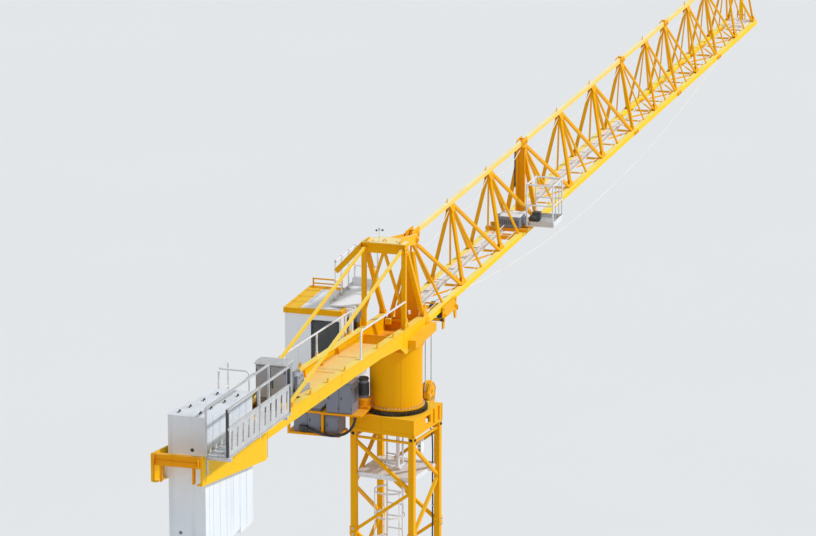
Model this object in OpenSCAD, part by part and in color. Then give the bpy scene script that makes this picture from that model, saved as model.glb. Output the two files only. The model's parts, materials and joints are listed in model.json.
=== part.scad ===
// Top-slewing tower crane with a triangular lattice jib, at half size.
// X runs along the jib, Y to the cab side and Z up; the origin is on the ground under the slewing axis.

/* [Base] */
// Height of the base frame under the mast legs
base_h = 150; // [120:10:240]
// Side of each square foot plate
foot_w = 300; // [240:10:400]
// Thickness of each foot plate
foot_t = 30; // [20:5:50]
// Distance of each foot plate's centre from the leg's centre, outward along the diagonal
foot_out = 90; // [40:10:160]
// Radius of the anchor bolt hole in each foot plate
anchor_r = 18; // [10:1:30]

/* [Mast] */
// Outer width of the mast over its legs
mast_w = 800; // [720:10:1000]
// Width of each square leg
leg_w = 90; // [70:5:120]
// Height of one mast section
section_h = 1665; // [1400:15:2000]
// Number of mast sections
sections = 6; // [3:1:6]
// Diagonals in one face of one section
panels = 3; // [3:2:5]
// Width of the mast's diagonals and horizontals
brace_w = 40; // [30:2:60]
// Angle of the mast's faces against the jib
mast_turn = -7.5; // [-20:0.5:20]

/* [Ladder] */
// Width between the ladder's rails
ladder_w = 190; // [160:10:240]
// Distance between rungs
rung_pitch = 150; // [120:5:160]
// Radius of the safety hoops
hoop_r = 175; // [160:5:200]
// Distance between safety hoops
hoop_pitch = 450; // [350:25:600]
// Thickness of the platform decks
deck_t = 14; // [8:1:20]

/* [Slewing ring] */
// Height of the square box that carries the slewing ring
ring_box_h = 175; // [140:5:240]
// Wall thickness of the ring box
ring_wall = 25; // [16:1:32]
// Outer diameter of the toothed ring
gear_d = 730; // [710:5:760]
// Inner diameter of the toothed ring
gear_bore_d = 600; // [580:5:620]
// Height of the toothed ring
gear_h = 45; // [35:1:60]
// Running gap between the fixed ring and the drum's flange above it
ring_gap = 5; // [5:1:8]
// Running gap between the toothed ring's bore and the drum's inner ring
race_gap = 0.3; // [0.1:0.1:1]
// Number of teeth on the ring
teeth = 90; // [72:2:110]
// Depth of the ring's teeth
tooth_h = 12; // [8:1:16]

/* [Pivot] */
// Diameter of the pivot drum
pivot_d = 610; // [560:5:640]
// Wall thickness of the pivot drum
pivot_wall = 20; // [12:1:40]
// Height of the drum's top above the slewing ring box
pivot_top = 795; // [700:5:850]
// Thickness of the drum's bottom flange
flange_h = 22; // [16:1:32]
// Height of the jib's bottom chords above the slewing ring box
chord_rise = 925; // [900:5:1000]

/* [Jib] */
// Distance between the centres of the two bottom chords
gauge = 405; // [360:5:460]
// Width of the square bottom chords
chord_w = 68; // [56:2:80]
// Width of the square top chord
top_w = 52; // [44:2:70]
// Height of the top chord's centre above the bottom chords
jib_h = 988; // [900:4:1100]
// Length of each inner bay
bay_a = 1667; // [1500:1:1800]
// Length of each outer bay
bay_b = 1250; // [1100:1:1400]
// Number of inner bays
bays_a = 6; // [4:2:6]
// Number of outer bays
bays_b = 6; // [2:2:6]
// Distance of the first bottom node from the slewing axis
root_x = 394; // [380:2:430]
// Distance that each apex stands ahead of the node behind it
apex_lead = 139; // [100:1:180]
// Thickness of the walkway plank in the jib
plank_t = 14; // [8:1:20]
// Width of the long lacing bars
lacing_w = 38; // [30:2:50]
// Width of the thin lacing bars
thin_w = 24; // [16:2:30]

/* [Tower head] */
// Height of the head's top above the bottom chords
head_h = 1150; // [1050:5:1250]
// Distance of the rear posts behind the slewing axis
post_back = 470; // [430:5:520]
// Width of the square head posts
post_w = 50; // [40:2:70]
// Thickness of the head's plates
plate_t = 16; // [10:1:24]

/* [Counter-jib] */
// Distance of the beams' outer faces from the centre plane
beam_y = 266; // [250:2:300]
// Thickness of the beams' webs
web_t = 16; // [10:1:24]
// Width of the beams' flanges
flange_w = 78; // [60:2:90]
// Thickness of the beams' flanges
flange_t = 14; // [10:1:20]
// Distance of the rear end from the slewing axis
tail_x = 7440; // [7200:10:7800]
// Distance of the ballast bay's front from the slewing axis
ballast_x = 5436; // [5300:4:5600]

/* [Ballast] */
// Width of the ballast slabs
slab_w = 390; // [340:5:395]
// Height of the ballast slabs
slab_h = 1400; // [1200:10:1600]
// Thickness of the rearmost ballast slab
slab_a = 240; // [200:5:300]
// Thickness of the other ballast slabs
slab_b = 408; // [350:1:420]
// Gap between the ballast slabs
slab_gap = 6; // [4:1:12]

/* [Cab] */
// Distance of the cab's inner wall from the centre plane
cab_y = 575; // [575:5:640]
// Width of the cab
cab_w = 680; // [600:10:760]
// Length of the cab
cab_l = 980; // [900:10:1100]
// Distance of the cab's rear wall behind the slewing axis
cab_back = 270; // [200:10:320]
// Height of the cab's walls
cab_h = 1090; // [1000:10:1200]
// Height of the cab's roof above the bottom chords
cab_roof = 190; // [150:5:240]

/* [Trolley and hook] */
// Distance of the trolley from the slewing axis at rest
trolley_x = 1290; // [1250:5:1500]
// Length of the trolley
trolley_l = 560; // [480:10:700]
// Drop of the hook block's pulley below the bottom chords at rest
hook_drop = 1080; // [900:10:1300]
// Distance between the hoist rope's falls along the jib
fall_x = 240; // [180:10:300]
// Radius of the hoist rope
rope_r = 6; // [4:0.5:8]
// Sag of the slack rope between the trolley and the tip
rope_sag = 640; // [300:10:900]
// Radius of the trolley's rollers
roller_r = 42; // [34:1:50]
// Radius of the trolley's rope pulleys at the rope
sheave_r = 70; // [55:1:80]
// Radius of the rollers' axles
axle_r = 12; // [8:1:16]
// Radial clearance of axles and the hook's shank in their bores
fit = 0.08; // [0.04:0.01:0.1]
// Radius of the hook's shank
shank_r = 16; // [12:1:17]

/* [Hidden] */
$fn = 32;

// Levels of the mast and the upper works
mast_top = base_h + sections * section_h;
ring_z = mast_top + ring_box_h;
flange_z = ring_z + gear_h + ring_gap;
lower_deck_z = flange_z - 242;
chord_z = ring_z + chord_rise;
leg_c = mast_w / 2 - leg_w / 2;
panel_h = section_h / panels;
ladder_x = sqrt(pow(hoop_r - 3, 2) - pow(ladder_w / 2, 2));
platform_z = [base_h + 2 * section_h, base_h + 4 * section_h, mast_top - panel_h];

// Places along the jib
chord_y = gauge / 2;
bay_count = bays_a + bays_b;
joint_a = bays_a / 2;
inner_end = root_x + bays_a * bay_a;
jib_end = inner_end + bays_b * bay_b;
root_apex = [root_x + 193, jib_h - 50];

// Lines of the counter-jib beams, as height above the bottom chords against distance behind the axis
front_x = root_x + 40;
flange_front = root_x - chord_w - 10;
drum_top = pivot_top - chord_rise;
rope_line = 110;
post_y = beam_y - 30;
roller_z = -chord_w / 2 - 0.3 - roller_r;
winch_x = root_x + 2.5 * bay_a + 38;
winch_end = root_x + 3 * bay_a - 175;
rail_step = (ballast_x - post_back - 300) / 4;
walk_front = 5430;
walk_rear = tail_x - 60;
sheave_z = -chord_w / 2 - rope_r - 8 - sheave_r - rope_r;
top_line = [[front_x, 112], [-572, 174], [-ballast_x, 486], [-tail_x, 740]];
low_line = [[-tail_x, 440], [-ballast_x, 113], [-ballast_x, 328], [-1450, 88], [-700, 0], [-480, drum_top],
    [front_x, drum_top]];

yellow = "gold";
orange = "orange";
galvanised = "lightgrey";

function node_x(k) = k <= bays_a ? root_x + k * bay_a : inner_end + (k - bays_a) * bay_b;
function is_coupling(k) = k == joint_a || k == bays_a || (k > bays_a && (k - bays_a) % 2 == 0);
function apex(k) = k == 0 ? root_apex : [node_x(k) + (is_coupling(k) ? 0 : apex_lead), jib_h];
function line_z(line, x, i = 0) = (i + 2 >= len(line) || x >= line[i + 1][0])
    ? line[i][1] + (line[i + 1][1] - line[i][1]) * (x - line[i][0]) / (line[i + 1][0] - line[i][0])
    : line_z(line, x, i + 1);
function top_z(x) = line_z(top_line, x);
function walk_z(x) = 630 + 0.048 * (-walk_front - x);
function floor_z(x) = line_z([[-ballast_x, 338 + flange_t], [-1450, 98 + flange_t], [-700, 10 + flange_t]], x);

// A square bar from one point to another
module bar(a, b, w, t = 0) {
    v = b - a;
    l = norm(v);
    d = t == 0 ? w : t;
    translate(a)
        rotate([0, acos(v.z / l), atan2(v.y, v.x)])
            translate([-d / 2, -w / 2, 0])
                cube([d, w, l]);
}

// A round rod from one point to another
module rod(a, b, r, sides = 8) {
    v = b - a;
    l = norm(v);
    translate(a)
        rotate([0, acos(v.z / l), atan2(v.y, v.x)])
            cylinder(r = r, h = l, $fn = sides);
}

// A flat strip from one point to another, in two dimensions
module strip(a, b, w) {
    v = b - a;
    n = w / 2 * [-v.y, v.x] / norm(v);
    polygon([a + n, b + n, b - n, a - n]);
}

// A row of rods through a list of points
module rail_path(points, r = 11, sides = 8) {
    for (i = [0 : len(points) - 2]) rod(points[i], points[i + 1], r, sides);
    for (p = points) translate(p) sphere(r = 1.2 * r, $fn = 24);
}

// A shape in X and Z, made solid from y0 to y1
module side_plate(y0, y1) {
    translate([0, y1, 0]) rotate([90, 0, 0]) linear_extrude(y1 - y0) children();
}

module box(a, b) {
    translate(a) cube(b - a);
}

module at_chords() {
    translate([0, 0, chord_z]) children();
}

module at_mast() {
    rotate([0, 0, mast_turn]) children();
}

module four_corners() {
    for (i = [0 : 3]) rotate([0, 0, 90 * i]) children();
}

// Base frame

module base_frame() {
    foot_c = leg_c + foot_out / sqrt(2);
    color(yellow) at_mast() difference() {
        union() {
            four_corners() {
                box([-leg_c, -mast_w / 2, 0], [leg_c, -mast_w / 2 + leg_w, base_h]);
                box([foot_c - foot_w / 2, foot_c - foot_w / 2, 0], [foot_c + foot_w / 2, foot_c + foot_w / 2, foot_t]);
                box([leg_c - 65, leg_c - 65, 0], [leg_c + 65, leg_c + 65, base_h]);
            }
            for (a = [45, 135]) rotate([0, 0, a]) box([-leg_c * sqrt(2), -50, 0], [leg_c * sqrt(2), 50, base_h - 20]);
        }
        four_corners() translate([foot_c + foot_w / 4, foot_c + foot_w / 4, -1]) cylinder(r = anchor_r, h = foot_t + 2);
    }
}

// Mast

// The zigzag bracing of one mast side, drawn flat in X and Z
module mast_zigzag() {
    for (i = [0 : sections * panels - 1]) {
        s = i % 2 == 0 ? 1 : -1;
        strip([-s * leg_c, base_h + i * panel_h + 20], [s * leg_c, base_h + (i + 1) * panel_h - 20], brace_w);
    }
    for (z = concat([for (i = [1 : sections]) base_h + i * section_h], [platform_z[2], base_h + brace_w]))
        strip([-leg_c, z - brace_w / 2], [leg_c, z - brace_w / 2], brace_w);
}

// One leg, and its sleeves at the section joints, seen from the side
module leg_outline(x) {
    translate([x - leg_w / 2, base_h]) square([leg_w, mast_top - base_h]);
}

module sleeve_outline(x) {
    for (i = [1 : sections - 1])
        translate([x - leg_w / 2 - 8, base_h + i * section_h - 60]) square([leg_w + 16, 120]);
}

module mast_leg(x) {
    side_plate(-leg_w / 2, leg_w / 2) leg_outline(x);
    side_plate(-leg_w / 2 - 8, leg_w / 2 + 8) sleeve_outline(x);
}

module mast_flat_side(side) {
    color(yellow) at_mast() rotate([0, 0, 90]) translate([0, -side * leg_c, 0]) {
        side_plate(-brace_w / 2, brace_w / 2) mast_zigzag();
        mast_leg(-leg_c);
        mast_leg(leg_c);
    }
}

module mast_rear_side() {
    mast_flat_side(-1);
}

module mast_front_side() {
    mast_flat_side(1);
}

module mast_cross_bracing(side) {
    color(yellow) at_mast() side_plate(side * leg_c - brace_w / 2, side * leg_c + brace_w / 2) difference() {
        mast_zigzag();
        for (x = [-leg_c, leg_c]) {
            leg_outline(x);
            sleeve_outline(x);
        }
    }
}

module mast_left_bracing() {
    mast_cross_bracing(1);
}

module mast_right_bracing() {
    mast_cross_bracing(-1);
}

module hoop(z) {
    translate([0, 0, z]) difference() {
        cylinder(r = hoop_r, h = 25);
        translate([0, 0, -1]) cylinder(r = hoop_r - 6, h = 27);
        box([40, -ladder_w / 2 + 12, -1], [hoop_r + 1, ladder_w / 2 - 12, 26]);
    }
}

module mast_ladder() {
    ladder_top = mast_top + ring_box_h - ring_wall - 10;
    color(galvanised) at_mast() {
        for (s = [-1, 1]) box([ladder_x - 15, s * ladder_w / 2 - 8, base_h + 10], [ladder_x + 15, s * ladder_w / 2 + 8, ladder_top]);
        for (z = [base_h + 100 : rung_pitch : ladder_top - 40])
            rod([ladder_x, -ladder_w / 2, z], [ladder_x, ladder_w / 2, z], 10);
        for (z = [base_h + 1300 : hoop_pitch : ladder_top - 120]) hoop(z);
        for (a = [120, 180, 240]) rotate([0, 0, a])
            box([hoop_r - 10, -10, base_h + 1300], [hoop_r, 10, base_h + 1300
                + hoop_pitch * floor((ladder_top - 120 - base_h - 1300) / hoop_pitch) + 25]);
    }
}

module mast_platforms() {
    half = leg_c - brace_w / 2 + 12;
    color(galvanised) at_mast() for (z = platform_z) difference() {
        box([-half, -half, z], [half, half, z + deck_t]);
        four_corners() translate([half, half, z - 1]) cylinder(r = leg_w, h = deck_t + 2, $fn = 4);
        four_corners() box([leg_c - leg_w / 2 - 14, leg_c - leg_w / 2 - 14, z - 1], [half + 1, half + 1, z + deck_t + 1]);
        box([-hoop_r - 10, -hoop_r - 10, z - 1], [ladder_x + 15, hoop_r + 10, z + deck_t + 1]);
    }
}

// Slewing ring

module ring_support() {
    half = mast_w / 2;
    color(yellow) at_mast() difference() {
        box([-half, -half, mast_top], [half, half, ring_z]);
        box([-half + ring_wall, -half + ring_wall, mast_top - 1], [half - ring_wall, half - ring_wall, ring_z - ring_wall]);
        translate([0, 0, mast_top]) cylinder(d = gear_bore_d - 40, h = ring_box_h + 1, $fn = 64);
        box([-60, -half - 1, mast_top + 35], [80, -half + ring_wall + 1, mast_top + 130]);
    }
}

module slewing_gear() {
    root = gear_d / 2 - tooth_h;
    step = 360 / teeth;
    color("dimgrey") translate([0, 0, ring_z]) translate([0, 0, 0.02]) difference() {
        linear_extrude(gear_h - 0.02) polygon([for (i = [0 : teeth - 1], c = [[root, 0], [root, 0.38], [root + tooth_h, 0.52],
            [root + tooth_h, 0.86]]) c[0] * [cos((i + c[1]) * step), sin((i + c[1]) * step)]]);
        translate([0, 0, -1]) cylinder(d = gear_bore_d, h = gear_h + 2, $fn = 96);
    }
}

module slewing_pivot() {
    drum_h = pivot_top - gear_h - ring_gap;
    race_d = gear_bore_d - 2 * race_gap;
    color(yellow) translate([0, 0, flange_z]) difference() {
        union() {
            cylinder(d = pivot_d, h = drum_h, $fn = 96);
            cylinder(d = pivot_d + 50, h = flange_h, $fn = 96);
            translate([0, 0, -ring_gap - gear_h + 8]) cylinder(d = race_d, h = ring_gap + gear_h - 8, $fn = 96);
        }
        translate([0, 0, -gear_h]) cylinder(d = pivot_d - 2 * pivot_wall, h = gear_h + drum_h - pivot_wall, $fn = 96);
    }
}

// Slewing frame between the beams on top of the pivot

module slewing_frame() {
    inner = beam_y - web_t;
    between = chord_y - chord_w / 2 - 2;
    lean = atan((root_apex.x - root_x) / root_apex.y);
    color(orange) at_chords() {
        box([-480, -inner, drum_top], [front_x, inner, drum_top + plate_t]);
        box([-460, -inner, drum_top + plate_t], [-460 + plate_t, inner, 60]);
        box([front_x - plate_t, -inner, drum_top + plate_t], [front_x, inner, -chord_w / 2 - 2]);
        difference() {
            union() {
                box([front_x - plate_t, -between, -chord_w / 2 - 2], [front_x, between, 34]);
                box([front_x - plate_t, -140, 34], [front_x, 140, 150]);
            }
            box([front_x - plate_t - 1, -46, rope_line - 30], [front_x + 1, 46, rope_line + 25]);
        }
        box([front_x - plate_t, -14, rope_line - 31], [front_x, 14, rope_line + 26]);
        translate([front_x - plate_t / 2, 0, 145]) rotate([0, lean, 0]) rotate([90, 0, 90])
            linear_extrude(10) polygon([[-130, 0], [130, 0], [28, 560], [-28, 560]]);
    }
}

module slewing_drives() {
    color(yellow) translate([-300, 300, flange_z + flange_h]) {
        cylinder(d = 140, h = 120);
        box([-70, -90, 0], [70, 0, 22]);
    }
    color("dimgrey") translate([-300, 300, flange_z + flange_h + 120]) {
        cylinder(d = 110, h = 210);
        cylinder(d = 128, h = 20);
    }
}

module electric_cabinets() {
    color("silver") {
        box([-640, 330, flange_z + flange_h], [-400, 640, flange_z + flange_h + 364]);
        box([-600, 712, lower_deck_z], [-350, 1045, lower_deck_z + 297]);
        box([-600, 500, lower_deck_z], [-350, 668, flange_z - 15]);
    }
}

module ring_platform() {
    color(orange) {
        difference() {
            box([-660, 215, flange_z], [-200, cab_y - 10, flange_z + flange_h]);
            translate([0, 0, flange_z - 1]) cylinder(d = pivot_d + 54, h = flange_h + 2, $fn = 96);
        }
        box([-660, cab_y - 10, flange_z], [-cab_back - 10, 704, flange_z + flange_h]);
        box([-640, 480, lower_deck_z - 25], [-330, 1110, lower_deck_z]);
        box([-640, 676, lower_deck_z], [-612, 704, flange_z]);
        box([-640, 704, flange_z], [-612, 1110, flange_z + flange_h]);
        box([-640, 1082, lower_deck_z], [-612, 1110, flange_z]);
    }
}

// Cab

module cab_shell() {
    wall = 24;
    low = cab_roof - cab_h;
    color("white") at_chords() translate([-cab_back, cab_y, low]) difference() {
        box([0, 0, 0], [cab_l, cab_w, cab_h]);
        box([wall, wall, wall], [cab_l - wall, cab_w - wall, cab_h - wall]);
        box([-1, 40, 300], [wall + 1, 350, cab_h - 80]);
        box([cab_l - wall - 1, 50, 180], [cab_l + 1, cab_w - 50, cab_h - 80]);
        box([220, -1, 420], [cab_l - 60, wall + 1, cab_h - 90]);
        box([220, cab_w - wall - 1, 420], [cab_l - 60, cab_w + 1, cab_h - 90]);
    }
}

module cab_glass() {
    low = cab_roof - cab_h;
    t = 10;
    color("black", 0.6) at_chords() translate([-cab_back, cab_y, low]) {
        box([7, 40, 300], [7 + t, 350, cab_h - 80]);
        box([cab_l - 17, 50, 180], [cab_l - 7, cab_w - 50, cab_h - 80]);
        box([220, 7, 420], [cab_l - 60, 7 + t, cab_h - 90]);
        box([220, cab_w - 17, 420], [cab_l - 60, cab_w - 7, cab_h - 90]);
    }
}

module cab_roof_panel() {
    color(yellow) at_chords() translate([-cab_back, cab_y, cab_roof]) {
        difference() {
            box([-14, -14, 0], [cab_l + 14, cab_w + 14, 62]);
            box([20, 20, 40], [cab_l - 20, cab_w - 20, 63]);
        }
        for (y = [290, cab_w - 40]) rod([cab_l - 40, y, 35], [cab_l - 40, y, 160], 10);
        rail_path([[cab_l - 40, cab_w - 40, 160], [cab_l - 40, 290, 160]], 10);
        rod([cab_l - 40, cab_w - 40, 105], [cab_l - 40, 290, 105], 8);
    }
}

module cab_frame() {
    low = cab_roof - cab_h;
    color(orange) at_chords() {
        for (x = [-180, 330]) {
            box([x, beam_y, drum_top + 10], [x + 70, cab_y - 1, drum_top + 80]);
            box([x, cab_y + 30, low - 50], [x + 70, cab_y + cab_w - 40, low]);
        }
    }
}

module access_platform() {
    deck = cab_roof + 62;
    color(galvanised) at_chords() {
        box([-100, 470, deck], [850, 775, deck + 20]);
        box([780, 470, deck + 20], [850, 775, deck + 110]);
        for (x = [-150, 360]) {
            box([x, 480, drum_top + 80], [x + 40, 520, deck - 40]);
            box([x, 480, deck - 40], [x + 40, cab_y - 16, deck]);
        }
        for (x = [100, 330, 600, 840]) rod([x, 762, deck + 20], [x, 762, 735], 10);
        rail_path([[100, 762, 735], [840, 762, 735], [840, 482, 735]], 10);
        rail_path([[100, 762, 500], [840, 762, 500], [840, 482, 500]], 9);
        rod([840, 482, deck + 110], [840, 482, 735], 10);
    }
}

// Tower head

module below_beams() {
    side_plate(-2000, 2000) polygon(concat([[front_x + 500, -3000], [front_x + 500, top_z(front_x)]], top_line,
        [[-tail_x - 500, 740], [-tail_x - 500, -3000]]));
}

module head_rear_frame() {
    color(yellow) at_chords() difference() {
        union() {
            for (s = [-1, 1]) translate([-post_back, s * post_y, 0])
                box([-post_w / 2, -post_w / 2, 60], [post_w / 2, post_w / 2, head_h]);
            box([-post_back - post_w / 2 + 3, -post_y, head_h - 110], [-post_back + post_w / 2 - 3, post_y, head_h - 1]);
            for (s = [-1, 1]) bar([-post_back, 0, head_h - 80], [-post_back, s * post_y, 330], 30);
        }
        below_beams();
    }
}

module head_front_frame() {
    out = post_y;
    top = [-post_back + post_w / 2 + 30, head_h - 45];
    foot = [root_x - 60, 40];
    color(yellow) at_chords() difference() {
        union() {
            for (s = [-1, 1]) bar([top.x, s * out, top.y], [foot.x, s * out, foot.y], post_w);
            for (s = [-1, 1]) bar([top.x + 30, s * 72, top.y - 60], [top.x + 30, s * out, top.y - 60], 36);
        }
        below_beams();
    }
}

module head_top() {
    nose = root_apex;
    out = post_y + post_w / 2;
    color(orange) at_chords() difference() {
        union() {
            translate([0, 0, head_h]) linear_extrude(plate_t)
                polygon([[-post_back - 45, -out], [-post_back - 45, out], [-post_back + 120, out],
                    [-post_back + 230, 85], [-post_back + 230, -85], [-post_back + 120, -out]]);
            for (s = [-1, 1]) side_plate(s * 60 - 8, s * 60 + 8)
                polygon([[-post_back + post_w / 2 + 1, head_h - 105], [-post_back + post_w / 2 + 1, head_h],
                    [-post_back + 230, head_h], [nose.x + 40, nose.y + 60], [nose.x + 40, nose.y - 50],
                    [nose.x - 60, nose.y - 50], [-post_back + 230, head_h - 105]]);
        }
        translate([nose.x, 0, nose.y]) rotate([90, 0, 0]) cylinder(r = 22, h = 200, center = true);
    }
}

module head_davit() {
    side = post_y + post_w / 2;
    color(yellow) at_chords() {
        difference() {
            bar([-post_back, side - 20, head_h - 18], [-post_back - 5, side + 300, head_h - 360], 80, 60);
            box([-post_back - 100, side - 200, head_h - 400], [-post_back + 100, side, head_h + 200]);
            box([-post_back - 100, side - 1, head_h], [-post_back + 100, side + 200, head_h + 200]);
        }
        box([-400, -beam_y - 90, -85], [front_x, -beam_y, 15]);
    }
}

// Counter-jib

module beam_outline() {
    polygon(concat(top_line, low_line));
}

module flange_strip(line, t, width, side) {
    n = len(line);
    y0 = side > 0 ? beam_y - width : -beam_y;
    side_plate(y0, y0 + width)
        polygon(concat(line, [for (i = [n - 1 : -1 : 0]) [line[i].x, line[i].y - t]]));
}

module counter_beam(side) {
    y0 = side > 0 ? beam_y - web_t : -beam_y;
    color(yellow) at_chords() {
        side_plate(y0, y0 + web_t) beam_outline();
        flange_strip([[flange_front, top_z(flange_front)], top_line[1], top_line[2]], flange_t, flange_w, side);
        flange_strip([[-tail_x, 440 + flange_t], [-ballast_x, 113 + flange_t]], flange_t, flange_w - 20, side);
        flange_strip([[-ballast_x, 328 + flange_t], [-1450, 88 + flange_t], [-700, flange_t]], flange_t, flange_w, side);
    }
}

module counter_beam_left() {
    counter_beam(1);
}

module counter_beam_right() {
    counter_beam(-1);
}

module counter_floor() {
    inner = beam_y - web_t;
    color("khaki") at_chords() side_plate(-inner, inner)
        polygon([[-ballast_x + 30, 328 + flange_t], [-ballast_x + 30, 338 + flange_t], [-1450, 98 + flange_t],
            [-700, 10 + flange_t], [-700, flange_t], [-1450, 88 + flange_t]]);
}

module ballast_cross_beam() {
    inner = beam_y - web_t;
    color(orange) at_chords() {
        box([-tail_x, -inner, 620], [-tail_x + 60, inner, 735]);
        for (y = [-170, 170]) box([-tail_x, y - 8, 450], [-tail_x + 60, y + 8, 620]);
    }
}

module ballast_slab(x, thick) {
    low = top_z(x + thick / 2) - 1030;
    ear = line_z([[-ballast_x, 113], [-tail_x, 440]], x + thick / 2);
    half = slab_w / 2;
    difference() {
        union() {
            side_plate(-half, half) polygon([[x, low + 30], [x, low + slab_h], [x + thick, low + slab_h],
                [x + thick, low + 30], [x + thick - 20, low], [x + 20, low]]);
            box([x, -beam_y + web_t + 6, ear - 40], [x + thick, beam_y - web_t - 6, ear + 150]);
        }
        side_plate(-beam_y, -half + 1) polygon([[-ballast_x, -900], [-ballast_x, 113 + flange_t], [-tail_x, 440 + flange_t],
            [-tail_x, -900]]);
        side_plate(half - 1, beam_y) polygon([[-ballast_x, -900], [-ballast_x, 113 + flange_t], [-tail_x, 440 + flange_t],
            [-tail_x, -900]]);
    }
}

module ballast_slabs() {
    start = -tail_x + 310;
    rear = start - slab_a + 230;
    color("whitesmoke") at_chords() {
        difference() {
            ballast_slab(rear, slab_a - slab_gap);
            for (p = [[-45, 710], [75, 160]]) translate([rear - 1, p.x, top_z(rear) - 1030 + p.y]) rotate([0, 90, 0])
                cylinder(r = 20, h = 61);
        }
        for (i = [0 : 2]) ballast_slab(start + 230 + i * slab_b, slab_b - slab_gap);
    }
}

module counter_rails() {
    gate_x = -ballast_x + 16;
    gate_z = 1045;
    y = beam_y - 8;
    xs = [for (i = [0 : 3]) -post_back - 450 - i * rail_step];
    color(galvanised) at_chords() {
        difference() {
            for (s = [-1, 1], x = xs) rod([x, s * y, top_z(x) - 20], [x, s * y, top_z(x) + 298], 11);
            below_beams();
        }
        for (s = [-1, 1])
            rail_path([for (x = concat([-post_back - 50], xs, [-ballast_x + 136])) [x, s * y, top_z(x) + 300]], 11);
        difference() {
            for (p = [[gate_x, y], [gate_x + 300, y]]) rod([p.x, p.y, 400], [p.x, p.y, gate_z], 11);
            below_beams();
        }
        rod([gate_x, -75, floor_z(gate_x) - 2], [gate_x, -75, gate_z], 11);
        for (z = [gate_z - 260, gate_z]) rail_path([[gate_x + 300, y, z], [gate_x, y, z], [gate_x, -75, z]], 11);
    }
}

module side_walkway() {
    outer = -525;
    inner = -beam_y - 10;
    n = 11;
    pitch = (walk_rear - walk_front - 60) / n;
    color(galvanised) at_chords() {
        side_plate(outer, inner) polygon([[-walk_rear, walk_z(-walk_rear)], [-walk_rear, walk_z(-walk_rear) + 12],
            [-walk_front, walk_z(-walk_front) + 12], [-walk_front, walk_z(-walk_front)]]);
        for (x = [-walk_rear + 90, -walk_front - 90]) {
            box([x - 20, inner, walk_z(x) - 200], [x + 20, -beam_y, walk_z(x) - 2]);
            box([x - 20, outer, walk_z(x) - 40], [x + 20, inner, walk_z(x) + 2]);
        }
        for (x = [-walk_rear + 12, -(walk_rear + walk_front) / 2, -walk_front - 12])
            box([x - 12, outer, walk_z(x)], [x + 12, outer + 24, walk_z(x) + 515]);
        for (y = [outer, inner - 24]) side_plate(y, y + 20) rail_strip(500, 18);
        side_plate(outer, outer + 16) rail_strip(310, 14);
        side_plate(outer + 4, outer + 10) difference() {
            rail_strip(20, 285);
            for (i = [0 : n - 1]) translate([-walk_rear + 30 + (i + 0.5) * pitch, walk_z(-walk_rear + (i + 0.5) * pitch)])
                polygon([[-26, 70], [18, 70], [40, 265], [-12, 265]]);
        }
        box([-walk_rear, inner - 24, walk_z(-walk_rear) + 2], [-walk_rear + 20, inner - 4, walk_z(-walk_rear) + 515]);
        box([-walk_front - 20, inner - 24, walk_z(-walk_front) + 2], [-walk_front, inner - 4, walk_z(-walk_front) + 515]);
    }
}

// A strip along the side walkway, at a height above its floor
module rail_strip(low, high) {
    polygon([[-walk_rear, walk_z(-walk_rear) + low], [-walk_rear, walk_z(-walk_rear) + low + high],
        [-walk_front, walk_z(-walk_front) + low + high], [-walk_front, walk_z(-walk_front) + low]]);
}

module hoist_winch() {
    back = -ballast_x + 936;
    half = beam_y - flange_w - 20;
    color("silver") at_chords() difference() {
        union() {
            box([back, -half, 200], [back + 210, half, 850]);
            box([back + 211, -half, 200], [back + 800, half, floor_z(back + 500) + 40]);
            for (s = [-1, 1]) side_plate(s * (half - 20) - 12, s * (half - 20) + 12)
                polygon([[back + 330, 300], [back + 420, 620], [back + 600, 620], [back + 690, 300]]);
            translate([back + 510, 0, 520]) rotate([90, 0, 0]) cylinder(r = 110, h = 2 * half - 44, center = true, $fn = 48);
        }
        side_plate(-beam_y, beam_y) polygon([[-ballast_x, -100], [-ballast_x, floor_z(-ballast_x)],
            [-1450, floor_z(-1450)], [-1450, -100]]);
    }
}

module tie_bars() {
    foot = -ballast_x + 676;
    color(yellow) at_chords() difference() {
        for (s = [-1, 1]) {
            y = s * (beam_y - 44);
            bar([-post_back, y, head_h - 50], [foot, y, top_z(foot) - 10], 30);
        }
        below_beams();
        box([-post_back - post_w / 2, -beam_y, head_h - 300], [-post_back + post_w, beam_y, head_h + 100]);
    }
}

// Jib

module jib_side(side, k0, k1) {
    far = 400;
    color(yellow) at_chords() difference() {
        union() {
            box([node_x(k0) - (k0 == 0 ? chord_w : 0), side * chord_y - chord_w / 2, -chord_w / 2],
                [node_x(k1), side * chord_y + chord_w / 2, chord_w / 2]);
            for (k = [k0 : k1 - 1]) {
                a = apex(k);
                b = apex(k + 1);
                tip = [a.x, 0, a.y];
                half_x = (node_x(k) + node_x(k + 1)) / 2;
                ahead = k == k0 && k > 0 ? lacing_w / 2 + 8 : 0;
                bar([node_x(k) + ahead, side * chord_y, 0], tip + [ahead, 0, 0], lacing_w + (is_coupling(k) ? 14 : 0));
                bar([half_x, side * chord_y, 0], tip, thin_w);
                bar([node_x(k + 1) - (k + 1 == k1 ? 36 : 0), side * chord_y, 0], tip, lacing_w);
            }
            if (k1 == bays_a || k1 == bay_count)
                bar([node_x(k1) - lacing_w / 2 - 3, side * chord_y, 0], [node_x(k1) - lacing_w / 2 - 3, 0, jib_h], lacing_w);
        }
        box([0, -top_w / 2, jib_h - top_w / 2], [jib_end + 1000, top_w / 2, jib_h + top_w / 2]);
        box([-1000, side > 0 ? -far : 0, -far], [jib_end + 1000, side > 0 ? 0 : far, 2 * jib_h]);
        box([root_x - 300, -90, jib_h - 200], [root_apex.x + 42, 90, jib_h + 200]);
    }
}

module jib_left_inner() {
    jib_side(1, 0, bays_a);
}

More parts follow.
